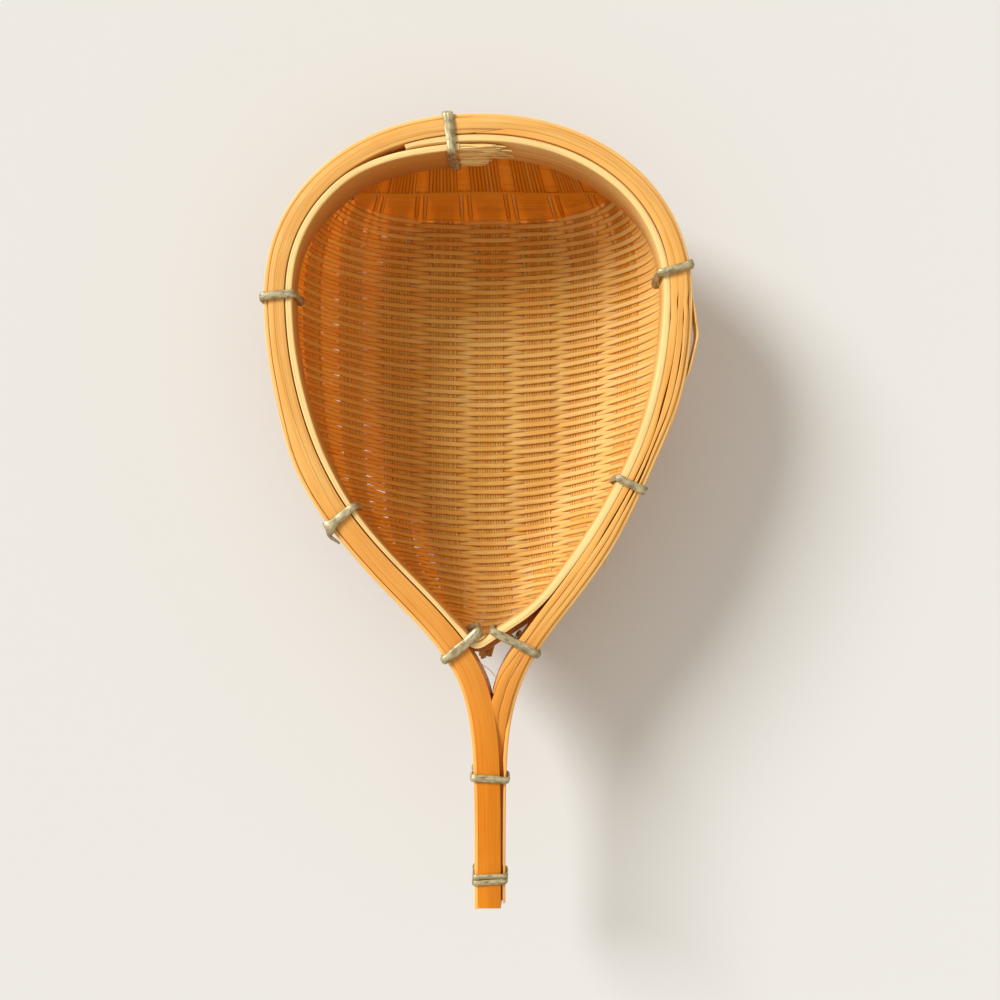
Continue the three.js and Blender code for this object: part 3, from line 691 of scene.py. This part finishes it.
torn_bamboo = bamboo(
    "torn_bamboo",
    srgb(250, 226, 160),
    srgb(224, 176, 104),
    srgb(132, 80, 34),
    roughness=0.7,
    coat=0.0,
    tones=1.2,
)
torn_end = Strips()
torn_from = ring.length + LAP_RIGHT_X - TORN_LENGTH
for number in range(TORN_FIBRES):
    high = rng.uniform(18.3, 27.9)
    layer = rng.uniform(0.0, 1.05)
    reach = TORN_LENGTH * (0.72 + 0.35 * ease(high, 19.0, 26.0)) * rng.uniform(0.66, 1.0)
    if rng.random() < 0.08:
        reach = TORN_LENGTH * rng.uniform(1.1, 1.25)
    share = np.linspace(0, 1, 12)
    s = torn_from - 0.8 + reach * share
    curl = rng.uniform(-0.2, 0.35) * share**2
    curl += 0.05 * np.sin(share * rng.uniform(5, 14) + number)
    lift = rng.uniform(-0.45, 0.3) * share**2
    lift += 0.06 * np.sin(share * rng.uniform(5, 14))
    outer = SLOT / 2 - SLOT_CLOSE + lap_step(s) + layer + curl
    width = rng.uniform(0.22, 0.45) * (1 - 0.5 * share**3)
    tall = rng.uniform(0.4, 0.75) * (1 - 0.6 * share**3)
    top = np.minimum(high + lift, RIM_HEIGHT - 0.03)
    tone = rng.random()
    lath(torn_end, ring, s, outer, outer + width, top - tall, top, (0.1, 0.1), tone)
torn_end.piece("inner_hoop_torn_end", torn_bamboo, "bamboo_inner_hoop")

# Binder hoop. A rough bamboo lath outside the weave, under the laths of the handle hoop; with
# the inner hoop it pinches the turned-up ends of the weave, and the ties hold both. From
# above it shows only at the tip.
BINDER_THICK = 1.3
BINDER_GAP = 0.3
BINDER_JOINT_Y = -30
binder_bamboo = bamboo(
    "binder_bamboo",
    srgb(212, 158, 92),
    srgb(184, 122, 60),
    srgb(120, 70, 30),
    roughness=0.6,
    coat=0.0,
)
binder_joint = np.interp(BINDER_JOINT_Y, ring_y[tip_index:], ring.lengths[tip_index:])
binder_end = binder_joint + ring.length
binder_run = np.linspace(binder_joint + BINDER_GAP, binder_end - BINDER_GAP, 220)
binder = Strips()
lath(
    binder,
    ring,
    binder_run,
    -SLOT / 2 - BINDER_THICK,
    -SLOT / 2 + 0.15,
    SKIRT_LOW,
    RIM_HEIGHT - LATH_HEIGHT - BINDER_GAP,
    corners=(0.3, 0.1),
    tone=0.5,
)
binder.piece("binder_hoop", binder_bamboo, "bamboo_binder", "binder_hoop")

# Ribs. Flat bundles of fine bamboo splints, woven in lengthwise over the floor and, all but
# the outermost on the left, up the back wall. The surface that they share with the wefts is
# drawn here: a place on it has a length along the floor and a girth from its middle.
FLOOR_Z = 0.62
SKIRT_HIGH = 25.4
FLOOR_RISES_Y = -15.0
BEND_Y = 43.4
FLOOR_FLAT = 0.45
COURSE_BOW = 5.5
BOW_MIDDLE_Y = -2.0
RING_TIP_Y = ring_y[tip_index]
RAMP = FLOOR_RISES_Y - RING_TIP_Y
FLOOR_DEPTH = SKIRT_LOW - FLOOR_Z
GRID_STEP = 0.5
ramp_turn = np.linspace(0, math.pi / 2, 400)
ramp_climb = FLOOR_DEPTH * (1 - np.cos(ramp_turn))
ramp = Track(np.stack([-RAMP * np.sin(ramp_turn), ramp_climb], -1))
floor_length = BEND_Y - FLOOR_RISES_Y + ramp.length
along_grid = BEND_Y - np.arange(0, floor_length - 0.4, GRID_STEP)[::-1]
girth_grid = np.arange(-60, 60.1, GRID_STEP)


def course(along):
    """One line across the bowl, by girth, and its lengths to the ring on the left and right."""
    y = along if along >= FLOOR_RISES_Y else FLOOR_RISES_Y + ramp.at(FLOOR_RISES_Y - along)[0]
    climbed = max(0.0, (FLOOR_RISES_Y - y) / RAMP)
    depth = FLOOR_DEPTH * math.sqrt(max(0.0, 1 - climbed**2))
    reach = BEND_Y - BOW_MIDDLE_Y if y > BOW_MIDDLE_Y else BOW_MIDDLE_Y - RING_TIP_Y
    end_y = y + COURSE_BOW * (1 - 0.8 * ((y - BOW_MIDDLE_Y) / reach) ** 2)
    ring_right = ring.points[tip_index::-1]
    right_x = np.interp(end_y, ring_right[:, 1], ring_right[:, 0])
    left_x = np.interp(end_y, ring_y[tip_index:], ring.points[tip_index:, 0])
    share = np.sin(np.linspace(0, math.pi / 2, 120))
    climb = np.maximum(0, (share - FLOOR_FLAT) / (1 - FLOOR_FLAT))
    z = SKIRT_LOW - depth * np.sqrt(np.maximum(0, 1 - climb**2))
    middle = (left_x + right_x) / 2
    points = np.zeros((len(girth_grid), 3))
    girths = []
    for side, end_x in ((-1, left_x), (1, right_x)):
        x = middle + (end_x - middle) * share
        line = Track(np.stack([x, y + (end_y - y) * share**2, z], -1))
        mine = girth_grid * side >= 0
        place = np.abs(girth_grid[mine])
        points[mine] = line.at(place)
        points[mine, 2] += np.maximum(0, place - line.length)
        girths.append(line.length)
    return points, girths


courses = [course(a) for a in along_grid]
surface_grid = np.stack([points for points, _ in courses])
girths_grid = np.array([girths for _, girths in courses])


def woven(along, girth):
    """Points of the woven surface, half way through the weave."""
    i = np.clip((along - along_grid[0]) / GRID_STEP, 0, len(along_grid) - 1.001)
    j = np.clip((girth - girth_grid[0]) / GRID_STEP, 0, len(girth_grid) - 1.001)
    i0, j0 = i.astype(int), j.astype(int)
    fi, fj = (i - i0)[..., None], (j - j0)[..., None]
    near = surface_grid[i0, j0] * (1 - fj) + surface_grid[i0, j0 + 1] * fj
    far = surface_grid[i0 + 1, j0] * (1 - fj) + surface_grid[i0 + 1, j0 + 1] * fj
    return near * (1 - fi) + far * fi


def unit(vectors):
    return vectors / np.maximum(np.linalg.norm(vectors, axis=-1, keepdims=True), 1e-9)


def woven_normal(along, girth):
    across = woven(along, girth + 0.6) - woven(along, girth - 0.6)
    ahead = woven(along + 0.6, girth) - woven(along - 0.6, girth)
    return unit(np.cross(across, ahead))


def girth_at(along, side):
    return np.interp(along, along_grid, girths_grid[:, 0 if side < 0 else 1])


def wall(girth, up):
    """The back wall from the bend, 0, to the ring, 1, and up in the slot, 2."""
    end_y = BEND_Y + COURSE_BOW * 0.2
    right_end = np.interp(end_y, ring_y[tip_index::-1], ring.lengths[tip_index::-1])
    left_end = ring.length - np.interp(end_y, ring_y[tip_index:], ring.lengths[tip_index:])
    left = girth < 0
    arc = np.where(left, left_end, right_end)
    full = np.where(left, girth_at(BEND_Y, -1), girth_at(BEND_Y, 1))
    foot = woven(np.full_like(girth, BEND_Y), girth)
    head = ring.at(girth / full * arc)
    head = np.concatenate([head, np.full_like(head[..., :1], SKIRT_LOW)], -1)
    p = foot + (head - foot) * np.minimum(up, 1)[..., None]
    p[..., 2] += np.maximum(0, up - 1) * (SKIRT_HIGH - SKIRT_LOW)
    return p


def wall_normal(girth, up):
    across = wall(girth + 0.3, up) - wall(girth - 0.3, up)
    rise = wall(girth, up + 0.03) - wall(girth, np.maximum(up - 0.03, 0))
    return unit(np.cross(across, rise))


def splint(strips, p, normal, level, width, thick, tone):
    """One fine splint along a path, its upper edges rounded, at a level off the surface."""
    tangent = unit(np.gradient(p, axis=0))
    side = unit(np.cross(normal, tangent))
    middle = p + normal * np.asarray(level)[:, None]
    half = (np.asarray(width) / 2 * np.ones(len(p)))[:, None]
    corners = [(-1, 0), (-0.9, 0.36), (-0.62, 0.5), (0.62, 0.5), (0.9, 0.36), (1, 0)]
    corners += [(0.7, -0.5), (-0.7, -0.5)]
    rings = np.stack([middle + side * half * u + normal * (thick * v) for u, v in corners], 1)
    steps = np.linalg.norm(np.diff(p, axis=0), axis=1)
    tone = np.asarray(tone) * np.ones(len(p))
    # Each splint starts at its own place in the fibres.
    along = np.concatenate([[0], np.cumsum(steps)]) + 40 * tone.max()
    strips.sweep(rings, along, half * np.array([u for u, _ in corners]), tone[:, None])


RIBS = 8
FIRST_RIB = -4
RIB_WIDTH = 6.6
RIB_MARGIN_LEFT = 4.5
RIB_MARGIN_RIGHT = 10.7
RIB_END_RISE = 6.0
BOWL_WIDEST = 15.5
WEFTS_A_COURSE = 4
WEFT_PITCH = 3.95 / WEFTS_A_COURSE
RIB_THICK = 0.3
RIB_DIP = 0.09
SPLINTS = 8
SPLINT_PITCH = 0.58
SPLINT_WIDTH = 0.6
EDGE_SPLINT = 2.62
EDGE_SPLINT_WALL = 4.35
EDGE_STANDS = 2.4
WALL_LEVEL = 0.2
rib_first = RIB_MARGIN_LEFT + RIB_WIDTH / 2 - girth_at(BOWL_WIDEST, -1)
rib_last = girth_at(BOWL_WIDEST, 1) - RIB_MARGIN_RIGHT - RIB_WIDTH / 2
rib_places = {
    k: rib_first + (rib_last - rib_first) * (k - FIRST_RIB) / (RIBS - 1)
    for k in range(FIRST_RIB, FIRST_RIB + RIBS)
}
rib_names = {k: f"rib_left_{-k}" if k < 0 else f"rib_right_{k}" for k in rib_places}
rib_names[0] = "rib_middle"
rib_bamboo = bamboo(
    "rib_bamboo",
    srgb(252, 212, 114),
    srgb(239, 178, 68),
    srgb(152, 84, 22),
    roughness=0.5,
    coat=0.03,
    lines=0.2,
    tones=0.4,
    through=0.4,
    aged=(srgb(232, 148, 22), srgb(255, 200, 74)),
    edges=(0.17, 0.31, 0.75),
)
for k, place in rib_places.items():
    rib = Strips()
    bundle = (np.arange(SPLINTS) - (SPLINTS - 1) / 2) * SPLINT_PITCH
    for offset in [-EDGE_SPLINT, *bundle, EDGE_SPLINT]:
        edge = abs(offset) == EDGE_SPLINT
        girth = place + offset + rng.uniform(-0.03, 0.03)
        side = 1 if girth > 0 else -1
        inside = girth_at(along_grid, side) + RIB_END_RISE > abs(girth)
        front = max(along_grid[inside].min(), along_grid[0] + 1.5)
        back = BEND_Y if k > FIRST_RIB else along_grid[inside].max()
        along = np.arange(front, back, WEFT_PITCH / 2)
        g = np.full_like(along, girth)
        if edge:
            apart = EDGE_SPLINT_WALL - EDGE_SPLINT
            g += np.sign(offset) * apart * ease(along, 30, BEND_Y)
        p, normal = woven(along, g), woven_normal(along, g)
        settled = np.clip((girth_at(along, side) - abs(girth)) / 2.5, 0.15, 1)
        level = -RIB_DIP * np.cos(math.pi * (along / WEFT_PITCH + 1.5 + k)) * settled
        width = np.full_like(along, SPLINT_WIDTH)
        # Painted shade: the splints turn deeper amber towards the back and the left, which lie
        # in shade.
        age = np.maximum(ease(p[:, 1], 5, 40), ease(-p[:, 0], 2, 32))
        tone = rng.random() - 0.9 * age
        if k > FIRST_RIB:
            up = np.linspace(0.03, 1.9, 46)
            g_wall = g[-1] + (0.0 if edge else 0.55 * offset) * ease(up, 0.0, 0.4)
            lower = ease(up, 0.0, 0.08) * (1 - ease(up, 0.38, 0.48))
            upper = ease(up, 0.38, 0.48) * (1 - ease(up, 0.85, 1.0))
            stand = -EDGE_STANDS * WALL_LEVEL if edge else WALL_LEVEL
            p = np.concatenate([p, wall(g_wall, up)])
            normal = np.concatenate([normal, wall_normal(g_wall, up)])
            level = np.concatenate([level, (upper - lower) * stand])
            broader = 0.35 * ease(up, 0.0, 0.1) if edge else 0.26 * ease(up, 0.0, 0.4)
            width = np.concatenate([width, SPLINT_WIDTH + broader])
            # Painted shade: the bundle's splints turn deeper amber up the back wall, which lies
            # in shade.
            wall_painted_shade = (0.0 if edge else 0.4) * ease(up, 0.0, 0.2)
            tone = np.concatenate([tone, tone[-1] - wall_painted_shade])
        for values in (p, normal):
            values[1:-1] = (values[:-2] + values[1:-1] + values[2:]) / 3
        splint(rib, p, unit(normal), level, width, RIB_THICK, tone)
    rib.piece(f"{rib_names[k]}_splints", rib_bamboo, "bamboo_rib", rib_names[k])

# Wefts. Fine bamboo splints woven over one rib and under the next across the floor, their
# ends turned up between the inner hoop and the laths. Four of them make a course, a few more
# the first and the last; here and there one is narrower and leaves a slit.
WEFT_THICK = 0.3
WEFT_RISE = 0.32
WEFT_RISE_SIDE = 0.16
RIB_HALF = 2.5
SLIT_CHANCE = 0.08
FIRST_COURSE = -12
LAST_COURSE = 10
MORE_AT_FRONT = 5
MORE_AT_BACK = 2
SKIRT = SKIRT_HIGH - SKIRT_LOW
weft_bamboo = bamboo(
    "weft_bamboo",
    srgb(255, 230, 144),
    srgb(246, 198, 92),
    srgb(152, 80, 20),
    roughness=0.48,
    coat=0.03,
    lines=0.15,
    aged=(srgb(236, 162, 58), srgb(255, 204, 100)),
    edges=(0.36, 0.53, 0.55),
    tones=0.4,
    through=0.4,
)
for row in range(FIRST_COURSE, LAST_COURSE + 1):
    wefts = Strips()
    first = WEFTS_A_COURSE * row - (MORE_AT_FRONT if row == FIRST_COURSE else 0)
    last = WEFTS_A_COURSE * (row + 1) + (MORE_AT_BACK if row == LAST_COURSE else 0)
    for fine in range(first, last):
        along = (fine - 1.5) * WEFT_PITCH
        left, right = girth_at(along, -1), girth_at(along, 1)
        climb = SKIRT * np.linspace(0.06, 1, 8)
        across_floor = np.arange(-left, right, 0.5)
        girth = np.concatenate([-left - climb[::-1], across_floor, right + climb])
        a = along + 0.06 * np.sin(girth / 7 + fine * 2.1) + 0.04 * np.sin(girth / 2.9 + fine)
        p, normal = woven(a, girth), woven_normal(a, girth)
        stops, levels = [-left], [0.0]
        for k, place in rib_places.items():
            if -left + 2 < place < right - 2:
                over = 1 if (fine + k) % 2 else -1
                stops += [place - RIB_HALF, place + RIB_HALF]
                levels += [over, over]
        stops.append(right)
        levels.append(0.0)
        at = np.clip(np.searchsorted(stops, girth) - 1, 0, len(stops) - 2)
        stops, levels = np.array(stops), np.array(levels)
        t = ease(girth, stops[at], np.maximum(stops[at + 1], stops[at] + 1e-6))
        wave = levels[at] + (levels[at + 1] - levels[at]) * t
        step = woven(a + 0.5, girth) - woven(a - 0.5, girth)
        tangent = unit(np.gradient(p, axis=0))
        step -= tangent * np.sum(step * tangent, -1, keepdims=True)
        pitch = np.clip(np.linalg.norm(step, axis=-1), 0.6, 1.6) * WEFT_PITCH
        between_ribs = 0.12 * (1 - wave**2) * (2 - ease(along, -42, -32))
        at_right = 1 - ease(right - girth, 1, 13)
        at_left = 1 - ease(left + girth, 4, 18)
        width = pitch * (1.05 + 0.08 * wave + between_ribs)
        width += 0.25 * pitch * ease(along, 41, 43)
        width += pitch * 0.16 * at_right + pitch * 0.15 * at_left
        flat = np.minimum(ease(right - girth, 4, 18), ease(left + girth, 6, 20))
        rise = WEFT_RISE_SIDE + (WEFT_RISE - WEFT_RISE_SIDE) * flat
        if rng.random() < SLIT_CHANCE:
            narrowest = rng.uniform(-0.8 * left, 0.8 * right)
            width *= 1 - 0.35 * np.exp(-(((girth - narrowest) / 1.6) ** 2))
        # Painted shade: the wefts turn deeper amber towards the back and the left, which lie in
        # shade.
        to_back = ease(p[:, 1], 0, 38) * (1 - ease(p[:, 0], 5, 36))
        age = np.maximum(to_back, ease(-p[:, 0], -14, 22))
        tone = 0.3 + 0.6 * rng.random() - 1.2 * age
        splint(wefts, p, normal, rise * wave, width, WEFT_THICK, tone)
    name = f"weft_course_{row - FIRST_COURSE + 1:02d}"
    wefts.piece(f"{name}_splints", weft_bamboo, "bamboo_weft", name)

# Tip of the weave. The front ends of the bamboo splints, turned up side by side between the
# inner hoop and the binder; some are pinched under it instead and stick out as a short stub,
# and one loose fibre crosses to the right arm.
TURNED_UP_FOOT = 13.2
TURNED_UP_FOLD = 16.5
TURNED_UP_TOP = 24.0
STUB_SPLINTS = 16
STUB_STEPS = 14
turned_up = Strips()
for beside in np.arange(-5.4, 5.0, 0.45):
    head, inward = (line(np.array([TIP_S + beside]))[0] for line in (ring.at, ring.inward))
    foot_in = head + inward * (1.3 - 0.16 * abs(beside))
    foot = np.append(foot_in, TURNED_UP_FOOT + 0.5 * abs(beside))
    path = bent(foot, np.append(head, TURNED_UP_FOLD), np.append(head, TURNED_UP_TOP))
    facing = np.tile(np.append(inward, 0.0), (len(path), 1))
    level = np.zeros(len(path))
    splint(turned_up, path, facing, level, width=0.62, thick=0.26, tone=rng.random())
turned_up.piece("weave_tip_turned_up", rib_bamboo, "bamboo_rib")
tip_bamboo = bamboo(
    "tip_bamboo",
    srgb(238, 196, 138),
    srgb(204, 148, 86),
    srgb(120, 72, 32),
    roughness=0.65,
    coat=0.0,
    tones=0.8,
)
tip_ends = Strips()
upright = np.tile([0.0, 0.0, 1.0], (STUB_STEPS, 1))
flat = np.zeros(STUB_STEPS)
for number in range(STUB_SPLINTS):
    across = rng.uniform(-1, 1)
    start = np.array([1.9 + 2.2 * across, -48.0, 13.0 + abs(across)])
    knee_y, knee_z = -50.6 + rng.uniform(-0.3, 0.3), 16.4 + rng.uniform(-0.6, 0.6)
    knee = np.array([1.8 + 1.3 * across, knee_y, knee_z])
    end_y, end_z = -53.1 + rng.uniform(-0.4, 0.6), 17.2 + rng.uniform(-0.7, 0.6)
    end = np.array([1.2 + 1.2 * across, end_y, end_z])
    path = bent(start, knee, end, STUB_STEPS)
    splint(tip_ends, path, upright, flat, rng.uniform(0.5, 0.9), 0.3, rng.random())
t = np.linspace(0, 1, STUB_STEPS)[:, None]
loose = np.array([0.7, -53.2, 26.0]) * (1 - t) + np.array([3.8, -56.4, 25.4]) * t
loose += np.array([0.2, 0.2, -0.4]) * np.sin(math.pi * t)
splint(tip_ends, loose, upright, flat, width=0.16, thick=0.12, tone=0.9)
tip_ends.piece("weave_tip_ends", tip_bamboo, "bamboo_weft")

# Back wall bands. Two wide flat splints of bamboo, woven in across the wall from corner to
# corner: the lower one in front of the ribs and behind their edge splints, the upper one the
# other way round.
band_bamboo = bamboo(
    "band_bamboo",
    srgb(248, 180, 60),
    srgb(232, 146, 24),
    srgb(150, 76, 10),
    roughness=0.42,
    coat=0.05,
    lines=0.4,
    tones=0.4,
    through=0.4,
)
BAND_THICK = 0.34
for name, low, high, level, reach, tone in (
    ("back_wall_band_lower", 0.0, 0.45, WALL_LEVEL, 37, 0.5),
    ("back_wall_band_upper", 0.4, 0.97, -WALL_LEVEL, 38, 0.3),
):
    band = Strips()
    girth = np.linspace(-reach, reach, 120)
    ups = np.linspace(low, high, 9)
    middle = np.stack([wall(girth, np.full_like(girth, u)) for u in ups], 1)
    normal = np.stack([wall_normal(girth, np.full_like(girth, u)) for u in ups], 1)
    half = BAND_THICK / 2 * np.array([0.4, 0.9, 1, 1, 1, 1, 1, 0.9, 0.4])[None, :, None]
    front, rear = middle + normal * (level + half), middle + normal * (level - half)
    rings = np.concatenate([front, rear[:, ::-1]], 1)
    places = np.linspace(0, 9, 9)
    band.sweep(rings, girth, np.concatenate([places, places[::-1]]), tone)
    band.piece(f"{name}_splint", band_bamboo, "bamboo_band", name)

# Wire ties. Turns of dull, soft galvanised wire pulled flat and tight round the laths and
# hoops, through the weave under the inner hoop, the two ends lying past each other
# underneath; the one at the lower left ends in a knob and a short tail.
WIRE_WIDE = 1.7
WIRE_THICK = 0.8
TIE_CORNER = 0.7
TIE_CLEAR = 0.03
STEPS_A_TURN = 130
galvanised = bpy.data.materials.new("galvanised_wire")
galvanised.use_nodes = True
galvanised.node_tree.nodes.clear()
shade = Shade(galvanised.node_tree)
along, across, tone = grain_of(shade)
spots = fibres(along, across, tone, length=1.3, width=0.9, detail=4.0)
streaks = fibres(along, across, tone, length=4.0, width=0.22)
bright = (spots * 0.8 + streaks * 0.5).between(0.45, 0.85)
pits = spots.between(0.62, 0.72) * 0.5
wire_bump = shade.node(
    "ShaderNodeBump",
    inputs={"Strength": 0.45, "Distance": 0.0002, "Height": spots + streaks - pits},
)
zinc = bright.blend(srgb(130, 116, 80), srgb(206, 192, 150))
wire_colour = pits.blend(zinc, srgb(80, 68, 44))
wire_surface = shade.node(
    "ShaderNodeBsdfPrincipled",
    inputs={
        "Base Color": wire_colour,
        "Metallic": 0.5,
        "Roughness": 0.55 - bright * 0.15,
        "Normal": wire_bump,
    },
)
shade.node("ShaderNodeOutputMaterial", inputs={0: wire_surface}, out=None)


def hoop_reach(p, inward):
    """How far in from a tie's place the near side of the inner hoop reaches."""
    s = np.arange(LAP_LEFT_X, ring.length + LAP_RIGHT_X, 0.5)
    depth = SLOT / 2 - SLOT_CLOSE + lap_step(s) + hoop_thick(s)
    q = ring.at(s) + ring.inward(s) * depth[:, None] - p
    under = np.abs(q[:, 0] * inward[1] - q[:, 1] * inward[0]) < WIRE_WIDE
    reach = (q @ inward)[under]
    return reach[reach < reach.min() + 2.5].max()


def tie_loop(x0, x1, z0, z1, r, rise):
    """One turn seen along the lath, from the middle of its underside, corners rounded. Its
    underside rises towards the inside."""
    points = [((x0 + x1) / 2, z0)]
    for x, z, quarter in ((x0, z0, 180), (x0, z1, 90), (x1, z1, 0), (x1, z0, -90)):
        middle_x0 = x + r if x == x0 else x - r
        middle_z0 = z + r if z == z0 else z - r
        for turn in np.radians(quarter + np.linspace(90, 0, 8)):
            points.append((middle_x0 + r * math.cos(turn), middle_z0 + r * math.sin(turn)))
    points = np.array([*points, points[0]])
    points[:, 1] += rise * (points[:, 0] - x0) / (x1 - x0) * (z1 - points[:, 1]) / (z1 - z0)
    return Track(points, endless=True)


def wire(strips, p, axis, wide, thick, at, tone):
    """Wire along a path, flattened across the axis of its turns."""
    tangent = unit(np.gradient(p, axis=0))
    side = unit(np.cross(tangent, axis))
    flat = unit(np.cross(side, tangent))
    turns = np.linspace(0, 2 * math.pi, 14, endpoint=False)
    round_side = side[:, None] * (np.cos(turns)[None, :, None] * (thick / 2)[:, None, None])
    round_flat = flat[:, None] * (np.sin(turns)[None, :, None] * (wide / 2)[:, None, None])
    strips.sweep(p[:, None] + round_side + round_flat, at, turns * 0.7, tone)


def add_tie(
    name, origin, inward, outer, inner, low, turns=1.2, size=1.0, flat=1.0, rise=0.0, knob=False
):
    """A tie round what lies between two depths, from a height up to the rim."""
    axis = np.array([-inward[1], inward[0], 0.0])
    across = np.array([inward[0], inward[1], 0.0])
    origin = np.array([origin[0], origin[1], 0.0])
    thick = WIRE_THICK * size * flat
    pad = thick / 2 + TIE_CLEAR
    loop = tie_loop(-outer - pad, inner + pad, low - pad, RIM_HEIGHT + pad, TIE_CORNER, rise)
    total = loop.length * turns
    at = np.linspace(0, total, int(STEPS_A_TURN * turns))
    section = loop.at(at)
    drift = (at - total / 2) * (WIRE_WIDE * size + 0.05) / loop.length
    drift += 0.16 * np.sin(at / 3.1 + len(name))
    p = origin + across * section[:, :1] + axis * drift[:, None]
    p[:, 2] += section[:, 1]
    tone = rng.random()
    uneven = 1 + 0.07 * np.sin(at / 2.3 + len(name)) + 0.04 * np.sin(at / 0.9)
    wide = WIRE_WIDE * size * uneven
    thickness = thick * (1 + 0.05 * np.sin(at / 1.3 + 2))
    tie = Strips()
    if knob:
        corner = [-outer - pad * 0.4, RIM_HEIGHT + pad * 0.2]
        away = np.linalg.norm(section - corner, axis=1)
        swell = np.exp(-((away / 1.3) ** 2))
        wide = wide * (1 + 0.75 * swell)
        thickness = thickness * (1 + 0.35 * swell)
        t = np.linspace(0, 1, 24)
        run = -0.6 - 3.4 * t
        out = -outer - 0.55 - 0.9 * np.sin(math.pi * t) * (1 - t)
        tail = origin + across * out[:, None] + axis * run[:, None]
        tail[:, 2] += RIM_HEIGHT - 0.6 - 1.6 * t
        wire(tie, tail, across, 1.0 - 0.55 * t, 0.8 - 0.45 * t, 5 * t, tone)
    wire(tie, p, axis, wide, thickness, at, tone)
    tie.piece(f"{name}_wire", galvanised, "tie_wire", name)


def hoop_tie(name, side, y, skew, past=0.0, **more):
    s = HOOP_BACK_S + y if side == 0 else hoop_s(side, y)
    p = hoop.at(s)
    n = hoop.inward(s)
    c, d = math.cos(skew), math.sin(skew)
    inward = np.array([n[0] * c - n[1] * d, n[0] * d + n[1] * c])
    outer = float(-skin_face(s))
    add_tie(name, p, inward, outer, hoop_reach(p, inward) + past, SKIRT_LOW, **more)


def handle_tie(name, y, skew, **more):
    half = float(hoop_half_width(y))
    low = float(lath_low(hoop_s(-1, y)))
    inward = (math.cos(skew), math.sin(skew))
    add_tie(name, (float(middle_x(y)), y), inward, half, half, low, **more)


hoop_tie("tie_back", 0, -4.2, -0.05, size=1.2, flat=0.6)
hoop_tie("tie_left", -1, 21, 0.02, rise=1.5)
hoop_tie("tie_right", 1, 27, 0.1, rise=1.5)
hoop_tie("tie_left_lower", -1, -25, 0.03, rise=3.0, knob=True)
hoop_tie("tie_right_lower", 1, -18.5, -0.05, rise=2.0)
hoop_tie("tie_junction_left", -1, -51.6, 0.04, past=-0.5, size=1.15, rise=4.2)
hoop_tie("tie_junction_right", 1, -51.2, -0.02, past=-0.5, rise=4.2)
handle_tie("tie_handle_upper", -75.7, -0.17, size=0.85)
handle_tie("tie_handle_lower", -95.8, -0.03, turns=2.2, size=0.62)

# Studio. A plain matt pale floor, a soft even light from the back left, a weak lamp at the
# front right and a warm sky; the camera looks straight down from a hand's height.
floor_mesh = bpy.data.meshes.new("floor")
floor_mesh.from_pydata([(-2, -2, 0), (2, -2, 0), (2, 2, 0), (-2, 2, 0)], [], [(0, 1, 2, 3)])
floor = bpy.data.objects.new("floor", floor_mesh)
bpy.context.scene.collection.objects.link(floor)
floor_material = bpy.data.materials.new("pale_floor")
floor_material.use_nodes = True
floor_paint = floor_material.node_tree.nodes["Principled BSDF"].inputs
floor_paint["Base Color"].default_value = srgb(216, 215, 211)
floor_paint["Roughness"].default_value = 1.0
floor_paint["Specular IOR Level"].default_value = 0.0
floor_mesh.materials.append(floor_material)


def add_lamp(name, kind, place, power, colour, **shape):
    data = bpy.data.lights.new(name, kind)
    data.energy = power
    data.color = colour
    for setting, value in shape.items():
        setattr(data, setting, value)
    lamp = bpy.data.objects.new(name, data)
    lamp.location = place
    lamp.rotation_euler = (-Vector(place)).to_track_quat("-Z", "Y").to_euler()
    bpy.context.scene.collection.objects.link(lamp)


add_lamp("key_lamp", "SUN", (-0.62, 0.45, 0.46), 3.7, (0.97, 1.0, 1.03), angle=0.4)
add_lamp("fill_lamp", "AREA", (0.5, -0.5, 0.7), 0.4, (1.0, 1.0, 1.0), shape="SQUARE", size=0.6)

world = bpy.data.worlds.new("even_sky")
world.use_nodes = True
sky = world.node_tree.nodes["Background"].inputs
sky["Color"].default_value = (1, 0.92, 0.82, 1)
sky["Strength"].default_value = 0.64
bpy.context.scene.world = world
bpy.context.scene.view_settings.view_transform = "Standard"

camera_data = bpy.data.cameras.new("camera")
camera_data.sensor_width = 36
camera_data.lens = 36
camera_data.clip_start = 0.01
camera = bpy.data.objects.new("camera", camera_data)
camera.location = (0.0044, -0.020, 0.228)
bpy.context.scene.collection.objects.link(camera)
bpy.context.scene.camera = camera

bpy.context.view_layer.update()
